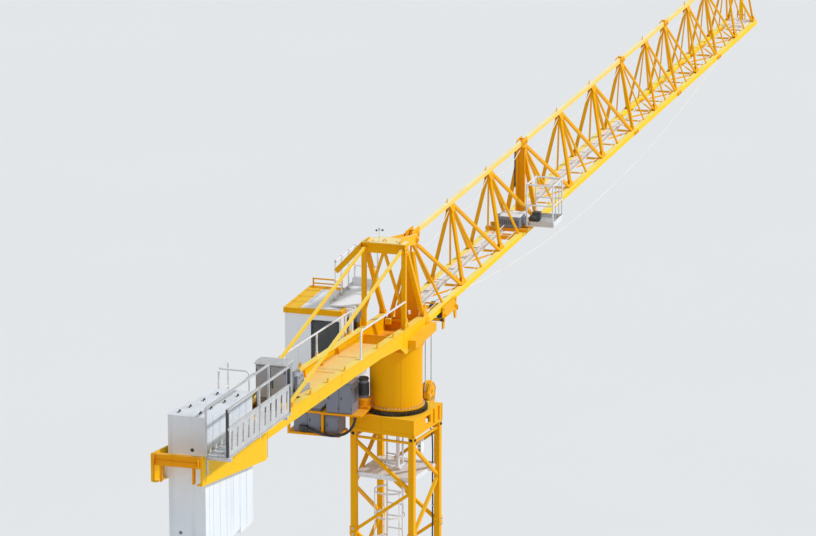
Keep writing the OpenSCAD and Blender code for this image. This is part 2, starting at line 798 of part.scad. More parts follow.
module jib_right_inner() {
    jib_side(-1, 0, bays_a);
}

module jib_left_outer() {
    jib_side(1, bays_a, bay_count);
}

module jib_right_outer() {
    jib_side(-1, bays_a, bay_count);
}

module jib_bottom(k0, k1) {
    inner = chord_y - chord_w / 2;
    color(yellow) at_chords() intersection() {
        box([0, -inner, -100], [jib_end + 100, inner, 100]);
        union() for (k = [k0 : 0.5 : k1 - 0.5]) {
            x0 = (node_x(floor(k)) + node_x(ceil(k))) / 2;
            x1 = (node_x(floor(k + 0.5)) + node_x(ceil(k + 0.5))) / 2;
            s = k == floor(k) ? 1 : -1;
            bar([x0, -chord_y, 0], [x0, chord_y, 0], k == floor(k) ? lacing_w : thin_w);
            bar([x0, -s * chord_y, 0], [x1, s * chord_y, 0], thin_w);
        }
    }
}

module jib_bottom_inner() {
    jib_bottom(0, bays_a);
}

module jib_bottom_outer() {
    jib_bottom(bays_a, bay_count);
}

module jib_top_chord() {
    color(yellow) at_chords() box([root_apex.x + 42, -top_w / 2, jib_h - top_w / 2], [jib_end, top_w / 2, jib_h + top_w / 2]);
}

module jib_walkway() {
    z = lacing_w / 2;
    inner = chord_y - chord_w / 2 - 6;
    color("white") at_chords() {
        box([root_x + 56, 10, z], [inner_end + 0.4 * bay_b, inner, z + plank_t]);
        box([root_x + 56, -inner + 20, z], [root_x + 476, 10, z + plank_t]);
    }
}

module jib_tip() {
    color(yellow) at_chords() {
        box([jib_end, -chord_y - chord_w / 2, -chord_w / 2], [jib_end + 60, chord_y + chord_w / 2, chord_w / 2]);
        box([jib_end, -top_w / 2, chord_w / 2], [jib_end + top_w, top_w / 2, jib_h + top_w / 2]);
    }
}

module trolley_winch() {
    z = chord_w / 2;
    far = chord_y + chord_w / 2;
    color("grey") at_chords() {
        for (x = [winch_x, winch_x + 230]) box([x, -far - 60, z], [x + 50, far + 10, z + 40]);
        box([winch_end - 50, -far - 60, z], [winch_end, -chord_y + chord_w / 2, z + 40]);
        box([winch_x + 10, -190, z + 40], [winch_x + 270, 100, z + 216]);
    }
}

module service_basket() {
    x0 = winch_x + 160;
    x1 = winch_end;
    y0 = -chord_y - chord_w / 2 - 350;
    y1 = -chord_y - chord_w / 2 + 10;
    z = chord_w / 2 + 40;
    color(galvanised) at_chords() {
        box([x0, y0, z], [x1, y1, z + 12]);
        for (x = [x0 + 12, x1 - 12], y = [y0 + 12, y1 - 12]) rod([x, y, z], [x, y, z + 540], 11);
        rail_path([[x0 + 12, y1 - 12, z + 530], [x0 + 12, y0 + 12, z + 530], [x1 - 12, y0 + 12, z + 530],
            [x1 - 12, y1 - 12, z + 530], [x0 + 12, y1 - 12, z + 530]], 11);
        rail_path([[x0 + 12, y1 - 12, z + 270], [x0 + 12, y0 + 12, z + 270], [x1 - 12, y0 + 12, z + 270],
            [x1 - 12, y1 - 12, z + 270]], 9);
        box([x0, y0, z + 12], [x1, y0 + 5, z + 72]);
    }
}

module jib_ropes() {
    color("dimgrey") at_chords() {
        rod([winch_x + 270, 0, rope_line], [jib_end, 0, rope_line], rope_r);
        rod([front_x, 0, rope_line], [winch_x + 10, 0, rope_line], rope_r);
    }
}

// Trolley and hook

module trolley_frame() {
    half = trolley_l / 2;
    out = chord_y + chord_w / 2 + 12;
    low = -chord_w / 2 - 2 * roller_r - 30;
    color(yellow) at_chords() translate([trolley_x, 0, 0]) {
        for (s = [-1, 1]) side_plate(s * (out + 8) - 8, s * (out + 8) + 8)
            polygon([[-half, 16], [half, 16], [half, low - 90], [half - 60, low - 90], [half - 90, low + 20],
                [90 - half, low + 20], [60 - half, low - 90], [-half, low - 90]]);
        for (s = [-1, 1], x = [-half + 10, half - 50]) box([x, s < 0 ? -out : 38, low], [x + 40, s < 0 ? -38 : out, low + 30]);
        for (s = [-1, 1]) box([-half + 10, s * 32 - 6, low], [half - 10, s * 32 + 6, sheave_z + 40]);
        for (s = [-1, 1], x = [-half + 60, half - 60])
            translate([x, s * out, roller_z]) rotate([90, 0, 0]) cylinder(r = axle_r, h = 80, center = true);
    }
}

module sheave(r, w) {
    rotate([90, 0, 0]) rotate_extrude($fn = 48) polygon([[14, -w / 2], [r + 8, -w / 2], [r, -3], [r, 3], [r + 8, w / 2],
        [14, w / 2]]);
}

module trolley_rollers() {
    half = trolley_l / 2;
    out = chord_y + chord_w / 2 + 12;
    color("dimgrey") at_chords() translate([trolley_x, 0, 0]) {
        for (s = [-1, 1], x = [-half + 60, half - 60]) translate([x, s * chord_y, roller_z]) rotate([90, 0, 0])
            difference() {
                cylinder(r = roller_r, h = 46, center = true);
                cylinder(r = axle_r + fit, h = 50, center = true);
            }
        for (s = [-1, 1]) translate([s * (fall_x / 2 + sheave_r + rope_r), 0, sheave_z]) {
            sheave(sheave_r, 36);
            rotate([90, 0, 0]) cylinder(r = 14, h = 52, center = true);
        }
    }
}

module hoist_falls() {
    color("dimgrey") at_chords() for (x = [-fall_x / 2, fall_x / 2])
        rod([trolley_x + x, 0, -hook_drop], [trolley_x + x, 0, sheave_z], rope_r);
}

// The hoist rope's run from the foot of the jib to the trolley and its slack run on to the tip
module hoist_run() {
    z = sheave_z + sheave_r + rope_r + 1.2;
    x0 = trolley_x + fall_x / 2 + sheave_r + rope_r;
    n = 12;
    span = jib_end - x0;
    run = [for (i = [0 : n]) [x0 + span * i / n, 0, z - 4 * rope_sag * (i / n) * (1 - i / n)]];
    color("dimgrey") at_chords() {
        rod([front_x, 0, z], [trolley_x - fall_x / 2 - sheave_r - rope_r, 0, z], rope_r);
        for (i = [0 : n - 1]) rod(run[i], run[i + 1], rope_r);
    }
}

module hook_block() {
    r = fall_x / 2 - rope_r;
    color(yellow) at_chords() translate([trolley_x, 0, -hook_drop]) {
        sheave(r, 36);
        rotate([90, 0, 0]) cylinder(r = 16, h = 104, center = true);
        for (s = [-1, 1]) side_plate(s * 38 - 10, s * 38 + 10)
            polygon([[-60, 90], [60, 90], [150, 0], [90, -165], [-90, -165], [-150, 0]]);
        difference() {
            box([-90, -28, -165], [90, 28, -141]);
            translate([0, 0, -166]) cylinder(r = shank_r + fit, h = 40);
        }
    }
}

module hook() {
    color("dimgrey") at_chords() translate([trolley_x, 0, -hook_drop]) {
        translate([0, 0, -210]) cylinder(r = shank_r, h = 75);
        translate([0, 0, -140.7]) cylinder(r = shank_r + 6, h = 10);
        translate([0, 0, -265]) rotate([90, 0, 0]) rotate([0, 0, -180]) rotate_extrude(angle = 280, $fn = 32)
            translate([52, 0]) circle(r = 18, $fn = 24);
        translate([0, 0, -213.3]) cylinder(r = 24, h = 48);
    }
}

base_frame();
mast_rear_side();
mast_front_side();
mast_left_bracing();
mast_right_bracing();
mast_ladder();
mast_platforms();
ring_support();
slewing_gear();
slewing_pivot();
slewing_frame();
slewing_drives();
electric_cabinets();
ring_platform();
cab_shell();
cab_glass();
cab_roof_panel();
cab_frame();
access_platform();
head_rear_frame();
head_front_frame();
head_top();
head_davit();
counter_beam_left();
counter_beam_right();
counter_floor();
ballast_cross_beam();
ballast_slabs();
counter_rails();
side_walkway();
hoist_winch();
tie_bars();
jib_left_inner();
jib_right_inner();
jib_bottom_inner();
jib_left_outer();
jib_right_outer();
jib_bottom_outer();
jib_top_chord();
jib_walkway();
jib_tip();
trolley_winch();
service_basket();
jib_ropes();
trolley_frame();
trolley_rollers();
hoist_falls();
hoist_run();
hook_block();
hook();
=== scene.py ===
"""Looks of the tower crane: finishes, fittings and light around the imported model."""
import json
import math

import bmesh
import bpy
from mathutils import Matrix, Vector


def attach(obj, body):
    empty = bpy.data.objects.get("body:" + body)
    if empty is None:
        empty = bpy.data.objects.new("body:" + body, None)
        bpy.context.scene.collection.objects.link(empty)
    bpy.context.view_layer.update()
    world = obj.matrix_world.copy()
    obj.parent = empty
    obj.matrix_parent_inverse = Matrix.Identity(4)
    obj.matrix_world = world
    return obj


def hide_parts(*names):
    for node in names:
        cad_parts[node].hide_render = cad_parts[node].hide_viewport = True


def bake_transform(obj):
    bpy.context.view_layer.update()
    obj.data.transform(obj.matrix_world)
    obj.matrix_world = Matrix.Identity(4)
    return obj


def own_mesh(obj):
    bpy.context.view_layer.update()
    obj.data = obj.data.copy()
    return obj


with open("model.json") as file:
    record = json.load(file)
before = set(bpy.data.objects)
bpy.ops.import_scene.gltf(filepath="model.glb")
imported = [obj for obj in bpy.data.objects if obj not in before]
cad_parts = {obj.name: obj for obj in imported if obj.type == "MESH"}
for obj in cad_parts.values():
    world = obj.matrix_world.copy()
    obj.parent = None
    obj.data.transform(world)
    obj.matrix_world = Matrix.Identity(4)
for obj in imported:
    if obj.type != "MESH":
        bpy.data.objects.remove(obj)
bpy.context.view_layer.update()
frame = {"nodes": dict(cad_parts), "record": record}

# Camera of the photograph, in metres, degrees and pixels
IMAGE_W = 816
CAMERA_AT = Vector((-47.105, -14.398, 25.254))
CAMERA_HEADING = 16.839
CAMERA_DOWN = 15.079
CAMERA_ROLL = -0.035
FOCAL_PX = 4462.3
SENSOR_W = 36.0

# Mast: levels and places, in metres
BASE = 0.150
SECTION = 1.665
PANEL = SECTION / 3
LEG = 0.365
TOP_NODE = 10.000
MAST_TOP = 10.140
MAST_TURN = Matrix.Rotation(math.radians(-7.5), 4, "Z")
JOINTS = [TOP_NODE - 2 * PANEL - SECTION * i for i in range(6)]
LADDER_Y = 0.085

# Pivot and head
RING = 10.315
FLANGE = 10.365
FLANGE_TOP = FLANGE + 0.022
POST_X = -0.470
POST_Y = 0.236

# Jib
CHORD = 11.240
CREST = CHORD + 0.988
HEAD = CHORD + 1.150
CHORD_Y = 0.2025
CHORD_HALF = 0.034
CHORD_TOP = CHORD + CHORD_HALF
ROOT_X = 0.394
BAY_A = 1.667
BAY_B = 1.250
INNER_END = ROOT_X + 6 * BAY_A
JIB_END = INNER_END + 6 * BAY_B
WINCH_X = ROOT_X + 2.5 * BAY_A + 0.038
BASKET_END = ROOT_X + 3 * BAY_A - 0.175

# Trolley and hook
TROLLEY_X = 1.290
SHEAVE_Z = CHORD - 0.124
HOOK_Z = CHORD - 1.080
ROPE_R = 0.006

# Counter-jib: its top edge, its floor and its side walkway
BEAM_LINE = [(0.434, 0.112), (-0.572, 0.174), (-5.436, 0.486), (-7.440, 0.740)]
FLOOR_START = -1.450
FLOOR_UP = 0.112
FLOOR_SLOPE = 0.0602
TIE_FOOT = -5.436 + 0.676
SLAB_DOWN = 1.030
SLAB_H = 1.400

SIDES = (-1, 1)
CORNERS = [(sx, sy) for sx in SIDES for sy in SIDES]
ALONG, ACROSS, UP = (1, 0, 0), (0, 1, 0), (0, 0, 1)


def steps(count, start, step):
    return [start + step * i for i in range(count)]


def around(count, radius, first=0.0):
    """Places on a circle, as pairs from its centre."""
    angles = [first + 2 * math.pi * i / count for i in range(count)]
    return [(radius * math.cos(a), radius * math.sin(a)) for a in angles]


def make_camera():
    data = bpy.data.cameras.new("camera")
    data.sensor_fit = "HORIZONTAL"
    data.sensor_width = SENSOR_W
    data.lens = FOCAL_PX * SENSOR_W / IMAGE_W
    data.clip_start = 1.0
    data.clip_end = 400.0
    camera = bpy.data.objects.new("camera", data)
    bpy.context.scene.collection.objects.link(camera)
    turn = Matrix.Rotation(math.radians(CAMERA_HEADING - 90), 4, "Z")
    tilt = Matrix.Rotation(math.radians(90 - CAMERA_DOWN), 4, "X")
    roll = Matrix.Rotation(math.radians(-CAMERA_ROLL), 4, "Z")
    camera.matrix_world = Matrix.Translation(CAMERA_AT) @ turn @ tilt @ roll
    bpy.context.scene.camera = camera


make_camera()


# ---------------------------------------------------------------- finishes

COLOUR_SOCKETS = {"Colour", "Faded", "Grime", "Top"}
STEEL_GREY = (0.5, 0.5, 0.5)
MATERIALS = {}


class Wiring:
    """Adds shader nodes to one tree and joins them."""

    def __init__(self, tree):
        self.tree = tree

    def add(self, kind, inputs=None, **settings):
        node = self.tree.nodes.new("ShaderNode" + kind)
        for name, value in settings.items():
            setattr(node, name, value)
        self.fill(node.inputs, inputs or {})
        return node

    def fill(self, sockets, values):
        for name, value in values.items():
            self.feed(sockets[name], value)

    def feed(self, socket, value):
        if isinstance(value, bpy.types.NodeSocket):
            self.tree.links.new(value, socket)
        else:
            socket.default_value = (*value, 1) if socket.type == "RGBA" else value

    def place(self, stretch=(1, 1, 1)):
        at = self.add("TexCoord").outputs["Object"]
        return self.add("Mapping", {"Vector": at, "Scale": stretch}).outputs["Vector"]

    def noise(self, scale, detail=3.0, rough=0.55, stretch=(1, 1, 1)):
        return self.add("TexNoise", {"Vector": self.place(stretch), "Scale": scale, "Detail": detail,
                                     "Roughness": rough}).outputs[0]

    def level(self, value, low, high, to_low=0.0, to_high=1.0):
        return self.add("MapRange", {"Value": value, "From Min": low, "From Max": high, "To Min": to_low,
                                     "To Max": to_high}).outputs["Result"]

    def cloud(self, low, high, *noise):
        """A mask that rises from 0 to 1 between two levels of a noise."""
        return self.level(self.noise(*noise), low, high)

    def runs(self, low, high, detail, rough, wide, tall):
        """A mask of streaks that run down."""
        return self.cloud(low, high, 1.0, detail, rough, (wide, wide, tall))

    def waves(self, scale, direction, stretch=(1, 1, 1), distortion=0.0):
        return self.add("TexWave", {"Vector": self.place(stretch), "Scale": scale, "Distortion": distortion},
                        bands_direction=direction).outputs["Fac"]

    def calc(self, operation, a, b=0.0, c=0.0):
        node = self.add("Math", operation=operation)
        for socket, value in zip(node.inputs, (a, b, c)):
            self.feed(socket, value)
        return node.outputs[0]

    def times(self, a, b, plus=None):
        return self.calc("MULTIPLY", a, b) if plus is None else self.calc("MULTIPLY_ADD", a, b, plus)

    def mix(self, factor, a, b):
        node = self.add("Mix", data_type="RGBA")
        for index, value in ((0, factor), (6, a), (7, b)):
            self.feed(node.inputs[index], value)
        return node.outputs[2]

    def facing_up(self):
        normal = self.add("NewGeometry").outputs["Normal"]
        return self.level(self.add("SeparateXYZ", {"Vector": normal}).outputs["Z"], 0.35, 0.95)

    def worn_edges(self, width, amount):
        return self.add("Group", {"Width": width, "Amount": amount}, node_tree=EDGE_WEAR).outputs["Mask"]


class Finish(Wiring):
    """One material with a Principled shader."""

    def __init__(self, name, metal=0.0, coat=0.0, specular=0.5):
        self.material = bpy.data.materials.new(name)
        self.material.use_nodes = True
        MATERIALS[name] = self.material
        super().__init__(self.material.node_tree)
        self.tree.nodes.clear()
        self.shader = self.add("BsdfPrincipled", {"Metallic": metal, "Coat Weight": coat, "Coat Roughness": 0.25,
                                                  "Specular IOR Level": specular})
        self.feed(self.add("OutputMaterial").inputs["Surface"], self.shader.outputs["BSDF"])

    def done(self, colour, rough, height=None, depth=0.002):
        self.fill(self.shader.inputs, {"Base Color": colour, "Roughness": rough})
        if height is not None:
            bump = self.add("Bump", {"Strength": 0.5, "Distance": depth, "Height": height})
            self.feed(self.shader.inputs["Normal"], bump.outputs["Normal"])
        return self.material


def new_group(name, inputs, outputs):
    tree = bpy.data.node_groups.new(name, "ShaderNodeTree")
    for labels, way in ((inputs, "INPUT"), (outputs, "OUTPUT")):
        for label in labels.split():
            kind = "Color" if label in COLOUR_SOCKETS else "Float"
            tree.interface.new_socket(label, in_out=way, socket_type="NodeSocket" + kind)
    return Wiring(tree), tree.nodes.new("NodeGroupInput").outputs, tree.nodes.new("NodeGroupOutput").inputs


def make_weathering():
    """Sun-bleached patches, rain streaks, dust together with a painted highlight on top faces, and small chips on a
    painted skin.
    """
    w, given, out = new_group("weathering", "Colour Faded Grime Top Fade Streaks Chips Bleach Sheen",
                              "Colour Roughness Height")
    patches = w.cloud(0.38, 0.68, 0.9, 4.0)
    mottle = w.cloud(0.35, 0.7, 7.0, 4.0, 0.6)
    fade = w.times(w.times(patches, 0.6, w.times(mottle, 0.4)), given["Fade"])
    colour = w.mix(fade, given["Colour"], given["Faded"])
    streak = w.times(w.runs(0.56, 0.74, 3.0, 0.5, 16, 0.9), w.cloud(0.42, 0.6, 1.6, 2.0))
    streak = w.times(streak, given["Streaks"])
    colour = w.mix(streak, colour, given["Grime"])
    # Faces that look up are lightened towards the Top colour: partly dust, partly a painted highlight of light falling
    # from above.
    top = w.times(w.facing_up(), w.level(w.noise(2.5, 4.0, 0.65), 0.25, 0.6, 0.45, 1.0))
    top = w.times(top, given["Bleach"])
    colour = w.mix(top, colour, given["Top"])
    chip = w.times(w.cloud(0.69, 0.72, 48.0, 2.0), w.cloud(0.5, 0.58, 3.1, 2.0))
    chip = w.times(chip, given["Chips"])
    height = w.times(w.noise(14.0, 2.0), 0.5, w.times(w.noise(260.0, 1.0), 0.25, w.times(chip, -0.6)))
    w.fill(out, {"Colour": w.mix(chip, colour, (0.16, 0.055, 0.02)), "Height": height,
                 "Roughness": w.calc("ADD", w.times(mottle, 0.12, given["Sheen"]),
                                     w.times(w.calc("ADD", streak, top), 0.2))})
    return w.tree


def make_edge_wear():
    """A broken line along edges and corners, where hands, ropes and shackles rub."""
    w, given, out = new_group("edge_wear", "Width Amount", "Mask")
    turned = w.add("VectorMath", operation="DOT_PRODUCT")
    w.feed(turned.inputs[0], w.add("Bevel", {"Radius": given["Width"]}, samples=4).outputs["Normal"])
    w.feed(turned.inputs[1], w.add("NewGeometry").outputs["Normal"])
    edge = w.level(turned.outputs["Value"], 0.97, 0.8)
    w.feed(out["Mask"], w.times(w.times(edge, w.cloud(0.46, 0.62, 22.0, 4.0, 0.7)), given["Amount"]))
    return w.tree


def make_spangle():
    """The flake pattern and white bloom of hot-dipped zinc."""
    w, given, out = new_group("zinc_spangle", "Colour Bloom Sheen", "Colour Roughness Height")
    cells = w.add("TexVoronoi", {"Vector": w.place(), "Scale": 70.0})
    flake = w.level(w.add("SeparateColor", {"Color": cells.outputs["Color"]}).outputs[0], 0.0, 1.0, 0.86, 1.08)
    shade = w.add("VectorMath", {"Scale": flake}, operation="SCALE")
    w.feed(shade.inputs[0], given["Colour"])
    bloom = w.times(w.cloud(0.45, 0.68, 5.0, 5.0, 0.65), given["Bloom"])
    colour = w.mix(bloom, shade.outputs[0], (0.82, 0.83, 0.84))
    drip = w.times(w.runs(0.6, 0.75, 3.0, 0.5, 20, 1.1), 0.35)
    w.fill(out, {"Colour": w.mix(drip, colour, (0.33, 0.31, 0.28)), "Roughness": w.times(bloom, 0.4, given["Sheen"]),
                 "Height": w.times(flake, 0.2, w.times(w.noise(90.0, 2.0), 0.3))})
    return w.tree


def make_grating():
    """Bearing bars and cross rods of an open grating, with a mask of the gaps on faces that look up, which zinc()
    paints darker as painted shade seen through the openings.
    """
    w, given, out = new_group("grating_gaps", "Pitch", "Gap Height")
    across = w.waves(given["Pitch"], "X")
    along = w.waves(given["Pitch"], "Y", (1, 0.45, 1))
    bar = w.calc("MAXIMUM", w.level(across, 0.55, 0.7), w.level(along, 0.75, 0.88))
    w.fill(out, {"Gap": w.times(w.calc("SUBTRACT", 1.0, bar), w.facing_up()), "Height": bar})
    return w.tree


WEATHERING = make_weathering()
EDGE_WEAR = make_edge_wear()
SPANGLE = make_spangle()
GRATING = make_grating()


# The top colour is dust together with a painted highlight on faces that look up.
def painted(name, colour, faded, top, fade=0.35, streaks=0.2, chips=0.4, bleach=0.4, wear=0.35,
            grime=(0.30, 0.14, 0.02), bare=(0.24, 0.16, 0.1), specular=0.08):
    w = Finish(name, specular=specular)
    skin = w.add("Group", node_tree=WEATHERING)
    w.fill(skin.inputs, {"Colour": colour, "Faded": faded, "Grime": grime, "Top": top, "Fade": fade, "Streaks": streaks,
                         "Chips": chips, "Bleach": bleach, "Sheen": 0.42})
    colour = w.mix(w.worn_edges(0.008, wear), skin.outputs["Colour"], bare)
    return w.done(colour, skin.outputs["Roughness"], skin.outputs["Height"])


def zinc(name, colour, bloom=0.4, sheen=0.42, metal=0.35, grating=0.0, gap=(0.09, 0.09, 0.09)):
    w = Finish(name, metal)
    skin = w.add("Group", node_tree=SPANGLE)
    w.fill(skin.inputs, {"Colour": colour, "Bloom": bloom, "Sheen": sheen})
    colour, height = skin.outputs["Colour"], skin.outputs["Height"]
    if grating:
        holes = w.add("Group", node_tree=GRATING)
        w.feed(holes.inputs["Pitch"], grating)
        # The gaps are painted darker: painted shade seen through the openings.
        colour = w.mix(w.times(holes.outputs["Gap"], 0.55), colour, gap)
        height = w.times(holes.outputs["Height"], 2.0, height)
    return w.done(colour, skin.outputs["Roughness"], height, 0.0015)


def greased_steel():
    w = Finish("greased_steel", 0.6)
    film = w.cloud(0.4, 0.65, 18.0, 4.0, 0.6)
    colour = w.mix(film, (0.09, 0.085, 0.08), (0.025, 0.022, 0.02))
    colour = w.mix(w.times(w.cloud(0.6, 0.7, 30.0, 3.0), 0.5), colour, (0.16, 0.07, 0.03))
    return w.done(colour, w.level(film, 0.0, 1.0, 0.55, 0.28), w.noise(120.0, 2.0), 0.001)


def stranded_rope(name, light, dark, soiling=0.5, metal=0.3):
    w = Finish(name, metal)
    # The strands are painted lighter on their crowns and darker in the grooves between them, as painted highlight and
    # shade.
    lay = w.waves(22.0, "DIAGONAL", distortion=0.6)
    colour = w.mix(w.times(w.cloud(0.4, 0.7, 3.0, 3.0), soiling), w.mix(lay, dark, light), (0.22, 0.19, 0.15))
    return w.done(colour, w.level(lay, 0.0, 1.0, 0.6, 0.4), lay)


def cast_concrete():
    w = Finish("cast_concrete")
    cloud = w.cloud(0.3, 0.7, 1.4, 5.0, 0.6)
    voids = w.cloud(0.70, 0.74, 85.0, 2.0)
    colour = w.mix(cloud, (0.85, 0.90, 0.955), (0.76, 0.81, 0.865))
    colour = w.mix(w.times(w.runs(0.54, 0.75, 4.0, 0.6, 11, 0.5), 0.28), colour, (0.42, 0.41, 0.38))
    # Small pits are painted darker, as painted shade inside them.
    colour = w.mix(w.times(voids, 0.6), colour, (0.3, 0.3, 0.3))
    top = w.times(w.facing_up(), w.cloud(0.4, 0.65, 4.0, 4.0))
    colour = w.mix(w.times(top, 0.35), colour, (0.5, 0.49, 0.44))
    colour = w.mix(w.worn_edges(0.012, 0.5), colour, (0.5, 0.49, 0.47))
    height = w.times(voids, -1.0, w.times(w.noise(35.0, 4.0), 0.6))
    return w.done(colour, w.level(cloud, 0.0, 1.0, 0.72, 0.88), height, 0.003)


def tinted_glass():
    w = Finish("tinted_glass", specular=0.7)
    dust = w.cloud(0.45, 0.75, 6.0, 4.0, 0.65)
    w.shader.inputs["Alpha"].default_value = 0.82
    return w.done(w.mix(w.times(dust, 0.25), (0.035, 0.042, 0.045), (0.3, 0.29, 0.26)),
                  w.level(dust, 0.0, 1.0, 0.04, 0.22))


def moulded(name, colour, pale, rough):
    w = Finish(name)
    bloom = w.cloud(0.4, 0.7, 9.0, 4.0, 0.6)
    return w.done(w.mix(bloom, colour, pale), w.level(bloom, 0.0, 1.0, rough - 0.1, rough + 0.1),
                  w.noise(180.0, 2.0), 0.001)


def lamp_lens():
    w = Finish("lamp_lens", coat=0.6)
    rings = w.waves(30.0, "Z")
    return w.done(w.mix(rings, (0.55, 0.02, 0.015), (0.75, 0.06, 0.04)), w.level(rings, 0.0, 1.0, 0.15, 0.3), rings)


def pale_floor():
    w = Finish("pale_floor")
    return w.done(w.mix(w.noise(0.15, 2.0), (0.82, 0.83, 0.84), (0.84, 0.85, 0.86)), 0.95)


painted("yellow_paint", (0.92, 0.432, 0.001), (0.93, 0.475, 0.003), (0.95, 0.68, 0.08), bleach=0.6)
# The head top and tip pulley: yellow paint whose top faces go pale cream, a painted highlight of light from above.
painted("top_highlight_yellow", (0.94, 0.50, 0.01), (0.95, 0.60, 0.05), (0.98, 0.87, 0.48), bleach=1.0, streaks=0.1)
# The top chord: a paler yellow with pale cream tops, a painted highlight of light from above.
painted("top_highlight_pale_yellow", (0.95, 0.66, 0.12), (0.96, 0.74, 0.24), (0.99, 0.92, 0.60), bleach=1.0, streaks=0.08,
        chips=0.3)
# The jib's chords and tip: a brighter, more lemon yellow, as painted sunlight.
painted("sunlit_yellow", (0.96, 0.63, 0.001), (0.96, 0.68, 0.006), (0.98, 0.88, 0.28), bleach=0.9)
# The counter-jib beams and tie bars: a brighter yellow, as painted sunlight on their lit sides.
painted("sunlit_beam_yellow", (0.95, 0.545, 0.001), (0.95, 0.585, 0.004), (0.97, 0.82, 0.24), bleach=0.8)
painted("orange_paint", (0.92, 0.36, 0.003), (0.92, 0.41, 0.008), (0.93, 0.56, 0.10), bleach=0.5, streaks=0.3,
        chips=0.5)
painted("white_paint", (0.87, 0.905, 0.945), (0.85, 0.87, 0.89), (0.91, 0.93, 0.95), streaks=0.08, chips=0.05,
        wear=0.08, grime=(0.55, 0.52, 0.47))
painted("grey_paint", (0.215, 0.228, 0.285), (0.26, 0.275, 0.33), (0.62, 0.63, 0.64), bleach=0.65, chips=0.2,
        wear=0.25, grime=(0.13, 0.12, 0.12), bare=STEEL_GREY, specular=0.35)
painted("cabinet_grey", (0.33, 0.345, 0.39), (0.38, 0.39, 0.43), (0.66, 0.67, 0.69), bleach=0.7, chips=0.15,
        wear=0.2, grime=(0.2, 0.19, 0.18), bare=STEEL_GREY, specular=0.35)
painted("floor_plate", (0.92, 0.52, 0.04), (0.92, 0.62, 0.14), (0.95, 0.76, 0.34), bleach=0.8, streaks=0.25,
        chips=0.6)
zinc("galvanised", (0.62, 0.62, 0.62))
zinc("galvanised_pale", (0.83, 0.85, 0.88), bloom=0.5, metal=0.1)
# The mast decks: near-white zinc, as painted light on decks that lie in shade.
zinc("sunlit_deck_grating", (0.90, 0.95, 1.0), bloom=0.3, metal=0.1, grating=10.0, gap=(0.66, 0.68, 0.71))
zinc("plank_paint", (0.97, 0.95, 0.955), bloom=0.1, metal=0.0, grating=12.0, gap=(0.90, 0.87, 0.87))
zinc("bright_steel", (0.66, 0.66, 0.66), bloom=0.2, sheen=0.3, metal=0.7)
stranded_rope("hoist_rope", (0.72, 0.71, 0.68), (0.36, 0.35, 0.33))
stranded_rope("pale_rope", (0.95, 0.95, 0.93), (0.80, 0.80, 0.78), 0.15, 0.0)
moulded("rubber", (0.022, 0.022, 0.023), (0.07, 0.07, 0.07), 0.65)
moulded("dark_trim", (0.045, 0.048, 0.052), (0.1, 0.1, 0.1), 0.5)
moulded("seat_cloth", (0.06, 0.065, 0.08), (0.1, 0.1, 0.11), 0.85)
greased_steel()
cast_concrete()
tinted_glass()
lamp_lens()

SLOT_FINISH = {"dark_steel": "greased_steel", "rope": "hoist_rope", "concrete": "cast_concrete",
               "glass": "tinted_glass"}

NODE_FINISH = {
    "access_platform": "white_paint", "side_walkway": "galvanised", "service_basket": "galvanised_pale",
    "head_top": "top_highlight_yellow", "jib_top_chord": "top_highlight_pale_yellow", "jib_tip": "sunlit_yellow",
    "counter_beam_left": "sunlit_beam_yellow", "counter_beam_right": "sunlit_beam_yellow", "tie_bars": "sunlit_beam_yellow",
    "hoist_winch": "cabinet_grey", "jib_walkway": "plank_paint", "counter_floor": "floor_plate",
    "jib_ropes": "pale_rope",
}


def finish_called(name):
    return MATERIALS[SLOT_FINISH.get(name, name)]


for part in frame["record"]["subparts"]:
    mesh = frame["nodes"][part["node"]].data
    mesh.materials.clear()
    mesh.materials.append(finish_called(NODE_FINISH.get(part["node"], part["material_slot"])))


# ---------------------------------------------------------------- making pieces

def facing(axis):
    return Vector(axis).to_track_quat("Z", "Y").to_matrix()


